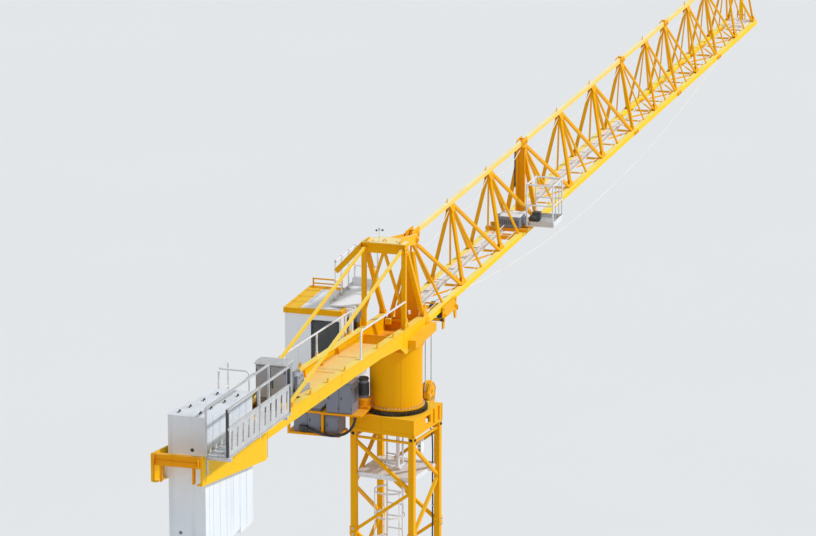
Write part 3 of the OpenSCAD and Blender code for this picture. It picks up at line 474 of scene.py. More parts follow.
class Work:
    """Collects the forms of one piece, from an origin of its own, before they become a mesh."""

    def __init__(self, body="upper", at=(0, 0, 0)):
        self.body = body
        self.at = at
        self.points = []
        self.faces = []

    def add(self, points, faces):
        first = len(self.points)
        turn = MAST_TURN if self.body == "mast" else Matrix()
        self.points += [tuple(turn @ Vector([u + v for u, v in zip(p, self.at)])) for p in points]
        self.faces += [[first + i for i in face] for face in faces]

    def loft(self, rows, closed=False):
        """Joins rows of points, and caps both ends unless the last row meets the first."""
        count, sides = len(rows), len(rows[0])
        last = (count - 1) * sides
        faces = [] if closed else [tuple(reversed(range(sides))), tuple(range(last, last + sides))]
        for i in range(count if closed else count - 1):
            a, b = i * sides, (i + 1) % count * sides
            faces += [(a + j, a + (j + 1) % sides, b + (j + 1) % sides, b + j) for j in range(sides)]
        self.add([p for row in rows for p in row], faces)

    def block(self, low, high):
        (x0, x1), (y0, y1), (z0, z1) = (sorted(ends) for ends in zip(low, high))
        self.loft([[(x0, y0, z), (x1, y0, z), (x1, y1, z), (x0, y1, z)] for z in (z0, z1)])

    def post(self, x, y, half, low, high):
        self.block((x - half, y - half, low), (x + half, y + half, high))

    def plate(self, outline, normal, low, high):
        """A flat outline with a thickness along one axis: x takes (y, z), y takes (x, z) and z takes (x, y)."""
        def lift(u, v, n):
            return {"x": (n, u, v), "y": (u, n, v), "z": (u, v, n)}[normal]
        self.loft([[lift(u, v, n) for u, v in outline] for n in (low, high)])

    def bar(self, a, b, width, thick=None):
        a, b = Vector(a), Vector(b)
        turn = facing(b - a)
        u, v = width / 2, (thick or width) / 2
        corners = [turn @ Vector((x, y, 0)) for x, y in ((u, v), (-u, v), (-u, -v), (u, -v))]
        self.loft([[end + corner for corner in corners] for end in (a, b)])

    def turned(self, at, axis, profile, sides=16):
        at, turn = Vector(at), facing(axis)
        self.loft([[at + turn @ Vector((*p, height)) for p in around(sides, radius)] for radius, height in profile])

    def ring(self, at, axis, inner, outer, height, sides=32):
        at, turn = Vector(at), facing(axis)
        profile = [(inner, 0), (outer, 0), (outer, height), (inner, height)]
        self.loft([[at + turn @ Vector((r * u, r * v, h)) for r, h in profile] for u, v in around(sides, 1)], True)

    def rod(self, a, b, radius, sides=10):
        a, b = Vector(a), Vector(b)
        self.turned(a, b - a, [(radius, 0), (radius, (b - a).length)], sides)

    def bolt(self, at, axis, radius):
        self.turned(at, axis, [(radius * 1.5, -0.002), (radius * 1.5, radius * 0.3)], 12)
        self.turned(at, axis, [(radius, radius * 0.2), (radius, radius * 1.0), (radius * 0.85, radius * 1.15)], 6)

    def nut(self, at, axis, radius):
        self.bolt(at, axis, radius)
        self.turned(at, axis, [(radius * 0.5, 0), (radius * 0.5, radius * 2.0), (radius * 0.4, radius * 2.15)], 8)

    def cap(self, at, axis, wide, low, narrow, high, sides=12, start=0):
        """A round boss with one step."""
        self.turned(at, axis, [(wide, start), (wide, low), (narrow, low + 0.002), (narrow, high)], sides)

    def tube(self, path, radius, sides=8):
        path = [Vector(p) for p in path]
        rows = []
        side = None
        for i, p in enumerate(path):
            way = (path[min(i + 1, len(path) - 1)] - path[max(i - 1, 0)]).normalized()
            side = side or way.orthogonal().normalized()
            side = (side - way * side.dot(way)).normalized()
            other = way.cross(side)
            rows.append([p + radius * (side * u + other * v) for u, v in around(sides, 1)])
        self.loft(rows)

    def arc(self, centre, u, v, radius, start, end, thick, count=12, sides=8):
        centre, u, v = Vector(centre), Vector(u), Vector(v)
        angles = [math.radians(start + (end - start) * i / count) for i in range(count + 1)]
        self.tube([centre + radius * (u * math.cos(a) + v * math.sin(a)) for a in angles], thick, sides)

    def band(self, at, radius, start, end, thick, height, count):
        """A flat bar bent round an upright axis."""
        rows = []
        for i in range(count + 1):
            a = math.radians(start + (end - start) * i / count)
            rows.append([(at[0] + r * math.cos(a), at[1] + r * math.sin(a), at[2] + h) for r, h in
                         ((radius, 0), (radius + thick, 0), (radius + thick, height), (radius, height))])
        self.loft(rows)


def piece(name, slot, work, finish=None, bevel=0.0, smooth=False, replaces=()):
    mesh = bpy.data.meshes.new(name)
    mesh.from_pydata(work.points, [], work.faces)
    shape = bmesh.new()
    shape.from_mesh(mesh)
    bmesh.ops.recalc_face_normals(shape, faces=shape.faces)
    shape.to_mesh(mesh)
    shape.free()
    mesh.materials.append(finish_called(finish or slot))
    if smooth:
        mesh.shade_smooth()
        mesh.set_sharp_from_angle(angle=math.radians(38))
    item = bpy.data.objects.new(name, mesh)
    bpy.context.scene.collection.objects.link(item)
    if bevel:
        rounding = item.modifiers.new("rounded_edges", "BEVEL")
        rounding.width = bevel
        rounding.segments = 2
        rounding.limit_method = "ANGLE"
        rounding.angle_limit = math.radians(40)
    if work.body:
        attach(item, work.body)
    if replaces:
        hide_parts(*replaces)
    return item


def beam_top(x):
    for (x0, z0), (x1, z1) in zip(BEAM_LINE, BEAM_LINE[1:]):
        if x >= x1:
            break
    return CHORD + z0 + (z1 - z0) * (x - x0) / (x1 - x0)


def floor_top(x):
    return CHORD + FLOOR_UP + (FLOOR_START - x) * FLOOR_SLOPE


def walkway_z(x):
    return CHORD + 0.630 + 0.048 * (-5.430 - x)


def node_x(k):
    return ROOT_X + k * BAY_A if k <= 6 else INNER_END + (k - 6) * BAY_B


def apex(k):
    if k == 0:
        return (ROOT_X + 0.193, CREST - 0.05)
    joined = k in (3, 6, 8, 10, 12)
    return (node_x(k) + (0 if joined else 0.139), CREST)


# ---------------------------------------------------------------- mast

def mast_legs():
    """The four square legs, with a sleeve at each section joint."""
    w = Work("mast")
    for sx, sy in CORNERS:
        w.post(sx * LEG, sy * LEG, 0.035, BASE, MAST_TOP)
        for z in JOINTS:
            w.post(sx * LEG, sy * LEG, 0.043, z - 0.058, z - 0.002)
            w.post(sx * LEG, sy * LEG, 0.043, z + 0.002, z + 0.058)
    piece("mast_legs", "yellow_paint", w, bevel=0.005, replaces=("mast_rear_side", "mast_front_side"))


def mast_lacing():
    """Diagonals that wind down the mast the same way on all four faces, and its few horizontals."""
    w = Work("mast")
    levels = [TOP_NODE - PANEL * k for k in range(18)] + [BASE + 0.035]
    rails = [(TOP_NODE + 0.032, 0.026), (BASE + 0.020, 0.038)]
    rails += [(BASE + i * SECTION - 0.020, 0.038) for i in (2, 4)]
    corners = [(-LEG, LEG), (-LEG, -LEG), (LEG, -LEG), (LEG, LEG)]
    for a, b in zip(corners, corners[1:] + corners[:1]):
        for k, (high, low) in enumerate(zip(levels, levels[1:])):
            p, q = (b, a) if k % 2 else (a, b)
            w.bar((*p, high), (*q, low), 0.038)
        for z, width in rails:
            w.bar((*a, z), (*b, z), width)
    for i in (1, 3, 5):
        z = BASE + i * SECTION - 0.020
        w.bar((LEG, -LEG, z), (LEG, LEG, z), 0.030)
    piece("mast_lacing", "yellow_paint", w, bevel=0.003, replaces=("mast_left_bracing", "mast_right_bracing"))


def mast_bolts():
    w, tops = Work("mast"), Work("mast")
    for sx, sy in CORNERS:
        for z in [joint + dz for joint in JOINTS for dz in (-0.034, 0.034)]:
            w.nut((sx * 0.408, sy * LEG, z), (sx, 0, 0), 0.010)
            w.nut((sx * LEG, sy * 0.408, z), (0, sy, 0), 0.010)
        tops.bolt((sx * 0.400, sy * LEG, TOP_NODE + 0.075), (sx, 0, 0), 0.013)
        tops.bolt((sx * LEG, sy * 0.400, TOP_NODE + 0.075), (0, sy, 0), 0.013)
    piece("sleeve_bolts", "dark_steel", w, "bright_steel")
    piece("leg_top_bolts", "dark_steel", tops)


def ring_box_seams():
    """Weld beads, stiffeners and bottom lip of the box that carries the slewing ring."""
    w = Work("mast")
    for s in SIDES:
        for t in SIDES:
            w.rod((s * 0.400, t * 0.400, MAST_TOP + 0.002), (s * 0.400, t * 0.400, RING - 0.002), 0.006)
        w.block((s * 0.388, -0.403, MAST_TOP - 0.035), (s * 0.403, 0.403, MAST_TOP + 0.004))
        w.block((-0.403, s * 0.388, MAST_TOP - 0.035), (0.403, s * 0.403, MAST_TOP + 0.004))
        w.block((s * 0.400, -0.003, MAST_TOP + 0.010), (s * 0.406, 0.003, RING - 0.010))
        for d in (0.16, 0.30):
            w.block((d - 0.005, s * 0.400, MAST_TOP + 0.004), (d + 0.005, s * 0.418, RING - 0.006))
    piece("ring_box_seams", "yellow_paint", w)


def mast_foot():
    nuts, ribs = Work("mast"), Work("mast")
    for sx, sy in CORNERS:
        at = (sx * 0.4936, sy * 0.4936, 0.030)
        nuts.turned(at, UP, [(0.045, 0), (0.045, 0.006)], 20)
        nuts.turned(at, UP, [(0.030, 0.006), (0.030, 0.034), (0.026, 0.038)], 6)
        nuts.turned(at, UP, [(0.015, 0.03), (0.015, 0.085), (0.011, 0.09)], 12)
        for normal, s, t in (("y", sx, sy), ("x", sy, sx)):
            for d in (-0.035, 0.035):
                ribs.plate([(s * 0.420, 0.030), (s * 0.560, 0.030), (s * 0.420, 0.140)], normal, t * LEG + d - 0.006,
                           t * LEG + d + 0.006)
    piece("anchor_nuts", "dark_steel", nuts, "bright_steel")
    piece("foot_ribs", "yellow_paint", ribs)


def mast_platforms():
    """Open-grid decks with a hatch round the ladder and a folded rim, on brackets at the legs."""
    deck, rim = Work("mast"), Work("mast")
    edge, cut, x1 = 0.347, 0.316, 0.175
    for z, x0, reach in ((BASE + 2 * SECTION, -0.195, 0.195), (BASE + 4 * SECTION, -0.195, 0.195),
                         (MAST_TOP - PANEL, 0.020, 0.115)):
        y0, y1 = LADDER_Y - reach, LADDER_Y + reach
        for low, high in (((-cut, -edge), (x0, edge)), ((-edge, -cut), (-cut, cut)), ((x1, -edge), (cut, edge)),
                          ((cut, -cut), (edge, cut)), ((x0, -edge), (x1, y0)), ((x0, y1), (x1, edge))):
            deck.block((*low, z), (*high, z + 0.014))
        for s in SIDES:
            rim.block((s * edge, -cut, z - 0.040), (s * (edge + 0.006), cut, z + 0.018))
            rim.block((-cut, s * edge, z - 0.040), (cut, s * (edge + 0.006), z + 0.018))
            for t in SIDES:
                rim.bar((s * 0.27, t * 0.27, z - 0.006), (s * 0.345, t * 0.345, z - 0.006), 0.05, 0.010)
            rim.block((s * 0.18, -edge, z - 0.03), (s * 0.2, edge, z))
        rim.block((x0, y0 - 0.004, z), (x1, y0, z + 0.03))
        rim.block((x0, y1, z), (x1, y1 + 0.004, z + 0.03))
    # The decks' finish is made paler as painted light, and their grating gaps carry painted shade.
    piece("mast_decks", "galvanised", deck, "sunlit_deck_grating", replaces=("mast_platforms",))
    piece("mast_deck_rims", "galvanised", rim, "galvanised_pale")


def mast_ladder():
    """The ladder up the mast, with bent flat hoops and straps round it below the top deck."""
    w, brackets = Work("mast", (0, LADDER_Y, 0)), Work("mast", (0, LADDER_Y, 0))
    for y in (-0.100, 0.100):
        w.block((0.136, y - 0.006, BASE + 0.01), (0.164, y + 0.006, 10.280))
        for z in steps(5, BASE + SECTION - 0.02, SECTION) + [TOP_NODE + 0.032]:
            brackets.bar((0.150, y, z), (0.352, y, z), 0.022, 0.008)
            brackets.bolt((0.158, y, z + 0.004), UP, 0.006)
    for z in steps(68, BASE + 0.10, 0.15):
        if z < 10.26:
            w.rod((0.150, -0.100, z), (0.150, 0.100, z), 0.009, 8)
    hoops = steps(27, 1.50, 0.30)
    for z in hoops:
        w.band((0, 0, z), 0.175, 36, 324, 0.005, 0.022, 22)
    for degrees in (116, 180, 244):
        (x, y), = around(1, 0.173, math.radians(degrees))
        w.rod((x, y, hoops[0]), (x, y, hoops[-1] + 0.022), 0.006, 6)
    piece("ladder_and_hoops", "galvanised", w, "galvanised_pale", replaces=("mast_ladder",))
    piece("ladder_brackets", "galvanised", brackets)


def mast_cables():
    """The supply cable down the inside of the front right leg, in clips."""
    w, clips = Work("mast", (0.321, -0.318, 0)), Work("mast")
    path = [(0.003 * math.sin(i * 1.7), 0.002 * math.sin(i * 2.3), 0.16 + i * 0.3) for i in range(33)]
    w.tube(path + [(-0.004, 0.004, 9.93), (-0.03, 0.010, 10.02), (-0.06, 0.02, 10.09), (-0.07, 0.03, 10.20)], 0.009)
    for z in steps(12, 0.5, 0.78):
        clips.block((0.310, -0.336, z), (0.334, -0.308, z + 0.012))
    piece("mast_cables", "dark_steel", w, "rubber", smooth=True)
    piece("mast_cable_clips", "galvanised", clips)


def collector_hose():
    """The hose under the slip rings, and the junction box beside it."""
    w, glands = Work("mast"), Work("mast")
    w.turned((-0.02, -0.03, MAST_TOP - PANEL + 0.014), UP,
             [(0.045, 0), (0.045, 0.010), (0.022, 0.014), (0.020, 0.30), (0.024, 0.31), (0.024, 0.34), (0.020, 0.35),
              (0.020, 0.66)], 20)
    w.block((-0.045, -0.336, 9.820), (0.035, -0.290, 9.950))
    for x in (-0.03, 0.02):
        w.block((x - 0.006, -0.337, 9.950), (x + 0.006, -0.331, 10.030))
    for z in (9.855, 9.905):
        glands.turned((-0.045, -0.313, z), (-1, 0, 0), [(0.012, 0), (0.012, 0.006), (0.008, 0.010)], 12)
    piece("collector_hose", "grey_paint", w, "white_paint", bevel=0.002)
    piece("junction_box_glands", "dark_steel", glands, "dark_trim")


# ---------------------------------------------------------------- pivot, drives and cabinets

def drum_details():
    """Bolts of the ring flange, weld beads down the drum, its collar under the frame and its hatch."""
    bolts, w, hatch = Work(), Work(), Work(at=(0.222, 0.209, 10.80))
    for x, y in around(48, 0.3185):
        bolts.nut((x, y, FLANGE_TOP), UP, 0.0075)
    for degrees in (-62, 118, -152):
        (x, y), = around(1, 0.3045, math.radians(degrees))
        w.rod((x, y, FLANGE_TOP), (x, y, 11.10), 0.0035, 6)
    w.ring((0, 0, 11.086), UP, 0.304, 0.322, 0.022, 64)
    w.ring((0, 0, FLANGE_TOP), UP, 0.304, 0.3085, 0.006, 64)
    out = (0.73, 0.69, 0)
    hatch.turned((0, 0, 0), out, [(0.085, -0.004), (0.085, 0.012), (0.078, 0.016)], 24)
    for u, v in around(8, 0.068):
        hatch.bolt((0.0117 - 0.69 * u, 0.011 + 0.73 * u, v), out, 0.006)
    piece("flange_bolts", "dark_steel", bolts, "bright_steel")
    piece("drum_seams", "yellow_paint", w)
    piece("drum_hatch", "yellow_paint", hatch, bevel=0.001)


def slewing_drive():
    motor = Work(at=(-0.300, 0.300, FLANGE_TOP + 0.120))
    bolts = Work(at=motor.at)
    gear = Work(at=(-0.300, 0.300, FLANGE_TOP))
    for z in steps(12, 0.035, 0.012):
        motor.ring((0, 0, z), UP, 0.054, 0.067, 0.005, 24)
    motor.turned((0, 0, 0.205), UP, [(0.062, 0), (0.062, 0.022), (0.050, 0.034), (0.020, 0.038)], 24)
    motor.block((0.025, 0.045, 0.06), (0.075, 0.085, 0.15))
    gear.turned((0, 0, 0), UP, [(0.092, 0), (0.092, 0.030), (0.080, 0.036), (0.080, 0.085), (0.088, 0.090),
                                (0.088, 0.112), (0.074, 0.121)], 32)
    gear.block((-0.085, -0.095, 0), (0.085, 0, 0.034))
    for x, y in around(10, 0.082):
        gear.bolt((x, y, 0.112), UP, 0.005)
    for x, y in around(8, 0.062):
        bolts.bolt((x, y, 0), UP, 0.006)
    piece("drive_fins", "grey_paint", motor, "dark_trim", smooth=True)
    piece("drive_gearbox", "orange_paint", gear, bevel=0.002)
    piece("drive_bolts", "dark_steel", bolts, "bright_steel")


def electric_fronts():
    """Doors, hinges and locks on the cabinet faces that look along -X."""
    w, trim = Work(), Work()
    for x, y0, y1, z0, z1, doors in ((-0.640, 0.330, 0.640, 10.387, 10.751, 2),
                                     (-0.600, 0.712, 1.045, 10.123, 10.420, 2),
                                     (-0.600, 0.500, 0.668, 10.123, 10.335, 1)):
        mid = (z0 + z1) / 2
        for i in range(doors):
            a, b = (y0 + (y1 - y0) / doors * j for j in (i, i + 1))
            w.block((x - 0.006, a + 0.006, z0 + 0.010), (x, b - 0.006, z1 - 0.012))
            for z in (z0 + 0.05, z1 - 0.07):
                trim.rod((x - 0.008, a + 0.010, z), (x - 0.008, a + 0.010, z + 0.025), 0.004)
            trim.block((x - 0.012, b - 0.032, mid - 0.018), (x - 0.006, b - 0.022, mid + 0.018))
        w.block((x - 0.018, y0 - 0.006, z1 - 0.004), (x + 0.26, y1 + 0.006, z1 + 0.008))
    w.block((-0.62, 0.322, 10.50), (-0.44, 0.330, 10.70))
    for z in steps(7, 10.52, 0.024):
        trim.block((-0.60, 0.317, z), (-0.46, 0.323, z + 0.010))
    piece("cabinet_doors", "grey_paint", w, bevel=0.002)
    piece("cabinet_locks", "dark_steel", trim, "dark_trim")


def cabinet_cable():
    """The thick cable that hangs below the lower cabinets and rises into the ring platform."""
    r = 0.016
    legs = (((-0.626, 0.880, 10.172), (-0.626, 0.800, 10.165), (-0.667, 0.750, 10.128), (-0.667, 0.585, 10.122)),
            ((-0.667, 0.585, 10.122), (-0.668, 0.430, 10.116), (-0.620, 0.300, 10.190), (-0.620, 0.300, FLANGE)))
    path = []
    for corners in legs:
        for i in range(18 if corners is legs[0] else 19):
            t = i / 18
            weights = ((1 - t) ** 3, 3 * t * (1 - t) ** 2, 3 * t * t * (1 - t), t ** 3)
            path.append(sum((Vector(corner) * weight for corner, weight in zip(corners, weights)), Vector()))
    w, glands = Work(), Work()
    w.tube(path, r, 12)
    for p, way in ((path[0], (0, -1, 0)), (path[-1], (0, 0, -1))):
        glands.turned(p, way, [(r * 1.8, -0.002), (r * 1.8, 0.010), (r * 1.4, 0.012), (r * 1.4, 0.020),
                               (r * 1.1, 0.030)], 12)
    glands.block((-0.650, 0.880, 10.140), (-0.600, 0.965, 10.205))
    ends = piece("cabinet_cable_glands", "dark_steel", glands, smooth=True)
    cable = piece("cabinet_cable", "dark_steel", w, "rubber", smooth=True)


# ---------------------------------------------------------------- cab

def window_frame(w, normal, n0, n1, low, high, band):
    (u0, v0), (u1, v1) = low, high
    for a, b in (((u0 - band, v0 - band), (u1 + band, v0)), ((u0 - band, v1), (u1 + band, v1 + band)),
                 ((u0 - band, v0), (u0, v1)), ((u1, v0), (u1 + band, v1))):
        w.plate([a, (b[0], a[1]), b, (a[0], b[1])], normal, n0, n1)


def cab_details():
    seals, skin, trim, roof, border = (Work(at=(-0.270, 0.575, 10.340)) for _ in range(5))
    long, wide, high = 0.980, 0.680, 1.090
    window_frame(seals, "x", -0.005, 0.004, (0.040, 0.300), (0.350, 1.010), 0.014)
    window_frame(seals, "x", long - 0.004, long + 0.005, (0.050, 0.180), (wide - 0.050, 1.010), 0.016)
    for y, s in ((0, -1), (wide, 1)):
        window_frame(seals, "y", y + s * 0.005, y - s * 0.004, (0.220, 0.420), (long - 0.060, 1.000), 0.014)
        seals.block((0.545, y, 0.42), (0.567, y + s * 0.005, 1.0))
    seals.tube([(long + 0.012, 0.34, 0.20), (long + 0.016, 0.30, 0.50), (long + 0.012, 0.22, 0.72)], 0.005)
    seals.bar((long + 0.010, 0.10, 0.62), (long + 0.010, 0.34, 0.80), 0.012)
    for y in (0.362, 0.520):
        skin.block((-0.0035, y, 0.03), (0, y + 0.006, high - 0.03))
    skin.block((0.19, wide, 0.05), (0.62, wide + 0.006, 0.40))
    skin.block((0.06, wide, 0.10), (0.17, wide + 0.005, 1.02))
    skin.block((-0.004, -0.004, 0), (long + 0.004, wide + 0.004, 0.022))
    skin.block((-0.030, 0.40, 0.12), (0, 0.62, 0.30))
    for z in steps(6, 0.140, 0.025):
        trim.block((-0.034, 0.42, z), (-0.028, 0.60, z + 0.010))
    trim.tube([(0.60, wide, 0.26), (0.60, wide + 0.03, 0.28), (0.60, wide + 0.03, 0.56), (0.60, wide, 0.58)], 0.007)
    trim.block((0.555, wide + 0.004, 0.34), (0.585, wide + 0.022, 0.40))
    roof.block((0.060, 0.050, high + 0.040), (long - 0.090, wide - 0.165, high + 0.052))
    x0, x1, y0, y1, z0, z1 = 0.021, long - 0.021, 0.021, wide - 0.021, high + 0.0405, high + 0.055
    border.block((x0, wide - 0.163, z0), (x1, y1, z1 + 0.001))
    border.block((x0, y0, z0), (0.058, y1, z1))
    border.block((long - 0.088, y0, z0), (x1, y1, z1))
    border.block((x0, y0, z0), (x1, 0.048, z1))
    piece("cab_window_seals", "dark_steel", seals, "rubber")
    piece("cab_wall_panels", "white_paint", skin, bevel=0.0015)
    piece("cab_handles", "dark_steel", trim, "dark_trim")
    piece("cab_roof_border", "yellow_paint", border, bevel=0.002)
    piece("cab_roof_sheet", "white_paint", roof, bevel=0.002)


def cab_interior():
    seat = Work(at=(0.150, 0.915, 10.364))
    desk = Work(at=seat.at)
    seat.block((-0.13, -0.12, 0.20), (0.13, 0.12, 0.27))
    seat.plate([(-0.13, 0.26), (-0.07, 0.26), (-0.10, 0.58), (-0.15, 0.58)], "y", -0.115, 0.115)
    cushion = piece("operator_seat", "dark_steel", seat, "seat_cloth", bevel=0.022, smooth=True)
    desk.turned((0, 0, 0), UP, [(0.09, 0), (0.09, 0.012), (0.035, 0.02), (0.035, 0.20)])
    for y in (-0.165, 0.165):
        desk.block((-0.06, y - 0.035, 0.28), (0.22, y + 0.035, 0.34))
        desk.block((-0.04, y - 0.02, 0), (0, y + 0.02, 0.28))
        desk.turned((0.15, y, 0.34), (0.15, 0, 1),
                    [(0.010, 0), (0.008, 0.05), (0.017, 0.06), (0.015, 0.10), (0.006, 0.11)], 12)
    desk.plate([(0.42, 0), (0.50, 0), (0.50, 0.30), (0.38, 0.24)], "y", -0.22, 0.22)
    desk.block((0.40, -0.28, 0.36), (0.42, -0.12, 0.50))
    piece("operator_desk", "dark_steel", desk, "dark_trim", bevel=0.003)


def cab_brackets():
    w = Work()
    for x in (-0.180, 0.330):
        w.plate([(0.52, 11.120), (0.574, 11.120), (0.574, 11.03), (0.565, 11.03)], "x", x + 0.031, x + 0.039)
        for y in (0.30, 0.34):
            for dx in (0.018, 0.052):
                w.bolt((x + dx, y, 11.190), UP, 0.008)
        for y in (0.64, 1.18):
            w.block((x - 0.008, y - 0.03, 10.282), (x + 0.078, y + 0.03, 10.292))
            w.bolt((x + 0.035, y, 10.282), (0, 0, -1), 0.010)
    piece("cab_bracket_bolts", "orange_paint", w)


def platform_clamps():
    w = Work(at=(0, 0, CHORD + 0.272))
    for x in (0.100, 0.330, 0.600, 0.840):
        w.block((x - 0.018, 0.742, 0), (x + 0.018, 0.774, 0.012))
        w.bolt((x - 0.012, 0.752, 0.012), UP, 0.004)
        for z, high in ((0.450, 0.026), (0.216, 0.024)):
            w.turned((x, 0.762, z), UP, [(0.014, 0), (0.014, high)], 12)
    w.block((-0.10, 0.770, 0), (0.78, 0.775, 0.045))
    for x in steps(10, -0.09, 0.095):
        w.block((x, 0.475, -0.034), (x + 0.015, 0.545, -0.020))
    piece("access_platform_clamps", "galvanised", w)


# ---------------------------------------------------------------- tower head

def head_fittings():
    w, cap = Work(), Work(at=(POST_X, 0, HEAD))
    for s in SIDES:
        y0, y1 = s * (POST_Y + 0.025), s * (POST_Y + 0.033)
        w.turned((0.587, s * 0.068, CHORD + 0.938), (0, s, 0),
                 [(0.040, 0), (0.040, 0.010), (0.026, 0.012), (0.026, 0.026), (0.018, 0.028)])
        w.plate([(POST_X - 0.075, HEAD - 0.012), (POST_X + 0.075, HEAD - 0.012), (POST_X + 0.035, HEAD - 0.13),
                 (POST_X - 0.035, HEAD - 0.13)], "y", y0, y1)
        w.plate([(POST_X - 0.08, beam_top(-0.39) + 0.012), (POST_X + 0.08, beam_top(-0.39) + 0.002),
                 (POST_X + 0.03, 11.53), (POST_X - 0.03, 11.53)], "y", y0, y1)
        w.plate([(0.20, beam_top(0.20) + 0.001), (0.36, beam_top(0.36) + 0.001), (0.31, 11.47), (0.25, 11.52)], "y",
                y0, y1)
        for dx, z in ((0, HEAD - 0.10), (0, HEAD - 0.05), (-0.04, 11.44), (0.04, 11.44)):
            w.bolt((POST_X + dx, y1, z), (0, s, 0), 0.010)
        cap.plate([(-0.040, 0.016), (0.115, 0.016), (0.085, 0.045), (-0.010, 0.045)], "y", s * 0.20 - 0.005,
                  s * 0.20 + 0.005)
        cap.bolt((0.04, s * 0.14, 0.016), UP, 0.009)
        cap.bar((0.12, s * 0.24, 0.002), (0.228, s * 0.088, 0.002), 0.012, 0.03)
    cap.arc((0.03, 0, 0.016), ACROSS, UP, 0.022, 0, 180, 0.006)
    piece("head_pins_and_plates", "yellow_paint", w, bevel=0.0015)
    piece("head_cap_lugs", "yellow_paint", cap, bevel=0.0015)


# ---------------------------------------------------------------- jib

def coupling(w, x, z, half, big=1.0):
    """A forked pin joint of the top chord, with its pins along Y."""
    outline = [(-0.085, -0.035), (0.085, -0.035), (0.098, 0), (0.085, 0.042), (-0.085, 0.042), (-0.098, 0)]
    for s in SIDES:
        w.plate([(x + u * big, z + v * big) for u, v in outline], "y", s * half, s * (half + 0.010))
        for dx in (-0.045, 0.045):
            w.turned((x + dx * big, s * (half + 0.010), z), (0, s, 0),
                     [(0.024 * big, 0), (0.024 * big, 0.008), (0.015 * big, 0.010), (0.015 * big, 0.020)], 14)
    w.block((x - 0.012, -half, z + 0.026), (x + 0.012, half, z + 0.026 + 0.022 * big))


def jib_couplings():
    w = Work()
    outline = [(-0.09, -0.028), (0.09, -0.028), (0.105, 0), (0.09, 0.028), (-0.09, 0.028), (-0.105, 0)]
    for k in (3, 6, 8, 10):
        x = node_x(k)
        coupling(w, x, CREST, 0.027, 1.25 if k == 3 else 1.0)
        for s, t in CORNERS:
            y = s * CHORD_Y
            w.plate([(x + u, CHORD + v) for u, v in outline], "y", y + t * 0.035, y + t * 0.045)
            for dx in (-0.05, 0.05):
                w.turned((x + dx, y + t * 0.045, CHORD), (0, t, 0),
                         [(0.021, 0), (0.021, 0.006), (0.013, 0.007), (0.013, 0.015)], 12)
    coupling(w, 0.640, CREST - 0.012, 0.032, 1.7)
    for s in SIDES:
        w.cap((0.360, s * 0.268, CHORD), (0, s, 0), 0.046, 0.010, 0.030, 0.030, 18)
        w.plate([(0.28, 11.18), (0.43, 11.16), (0.43, 11.31), (0.33, 11.33), (0.28, 11.29)], "y", s * 0.266, s * 0.272)
    piece("jib_couplings", "yellow_paint", w, bevel=0.001)


def jib_gussets():
    """Node plates where the lacing meets the chords, and small lugs along the top chord."""
    w = Work()

    def gusset(foot, head, y_foot, y_head, thick):
        """A sloping plate between an edge (x0, x1, z) at one y and an edge at another."""
        w.loft([[(foot[0], y_foot + d, foot[2]), (foot[1], y_foot + d, foot[2]), (head[1], y_head + d, head[2]),
                 (head[0], y_head + d, head[2])] for d in (0, thick)])

    slope = CHORD_Y / (CREST - CHORD)
    for k in range(13):
        x = node_x(k) if k else ROOT_X + 0.01
        foot = (max(x - 0.105, ROOT_X - 0.03), min(x + 0.105, JIB_END + 0.02), CHORD_TOP)
        tip, z = apex(k)
        lug, top = tip - 0.130, CREST + 0.026
        for s in SIDES:
            for d in (-0.0225, 0.0195):
                if k not in (3, 6, 8, 10):
                    gusset(foot, (x - 0.055, x + 0.055, CHORD + 0.105), s * (CHORD_Y - CHORD_HALF * slope + d),
                           s * (CHORD_Y - 0.105 * slope + d), s * 0.003)
            if k:
                gusset((tip - 0.10, tip + 0.10, z - 0.026), (tip - 0.045, tip + 0.045, z - 0.115), s * 0.0265,
                       s * 0.045, s * -0.004)
        if k not in (0, 3, 6, 8, 10):
            w.plate([(lug - 0.02, top), (lug + 0.02, top), (lug + 0.012, top + 0.030), (lug - 0.012, top + 0.030)],
                    "y", -0.004, 0.004)
            w.arc((lug, 0, top + 0.036), ALONG, UP, 0.010, 0, 360, 0.003, 10, 6)
    piece("jib_gussets", "yellow_paint", w)


def lifeline():
    """The pale safety line that hangs under the top chord from apex to apex, and the winch's guide ropes."""
    line, clips, guides = Work(), Work(), Work()
    stops = [Vector((apex(k)[0], 0.0, apex(k)[1] - 0.060)) for k in range(13)]
    for k, (a, b) in enumerate(zip(stops, stops[1:])):
        sag = 0.20 if k < 6 and k != 2 else 0.13
        line.tube([a.lerp(b, i / 12) - Vector((0, 0, sag * math.sin(math.pi * i / 12))) for i in range(13)], 0.005, 6)
    for x, y, z in stops:
        clips.turned((x, -0.008, z), ACROSS, [(0.011, 0), (0.011, 0.016)], 10)
        clips.rod((x, 0, z), (x, 0, z + 0.045), 0.004, 6)
    for y, z in ((-0.150, CHORD + 0.052), (0.030, CHORD + 0.062)):
        near = [(ROOT_X + 0.55 * i, y, z - 0.004 * (i % 2)) for i in range(1, 8)]
        guides.tube([(0.434, y, z)] + near + [(WINCH_X + 0.01, y, z)], 0.004, 6)
        guides.tube([(WINCH_X + 0.27, y, z), (9.0, y, z - 0.006), (13.5, y, z - 0.006), (JIB_END + 0.01, y, z)],
                    0.004, 6)
    piece("jib_lifeline", "rope", line, "pale_rope", smooth=True)
    piece("jib_lifeline_clips", "galvanised", clips, "bright_steel")
    piece("trolley_guide_ropes", "rope", guides, "pale_rope", smooth=True)


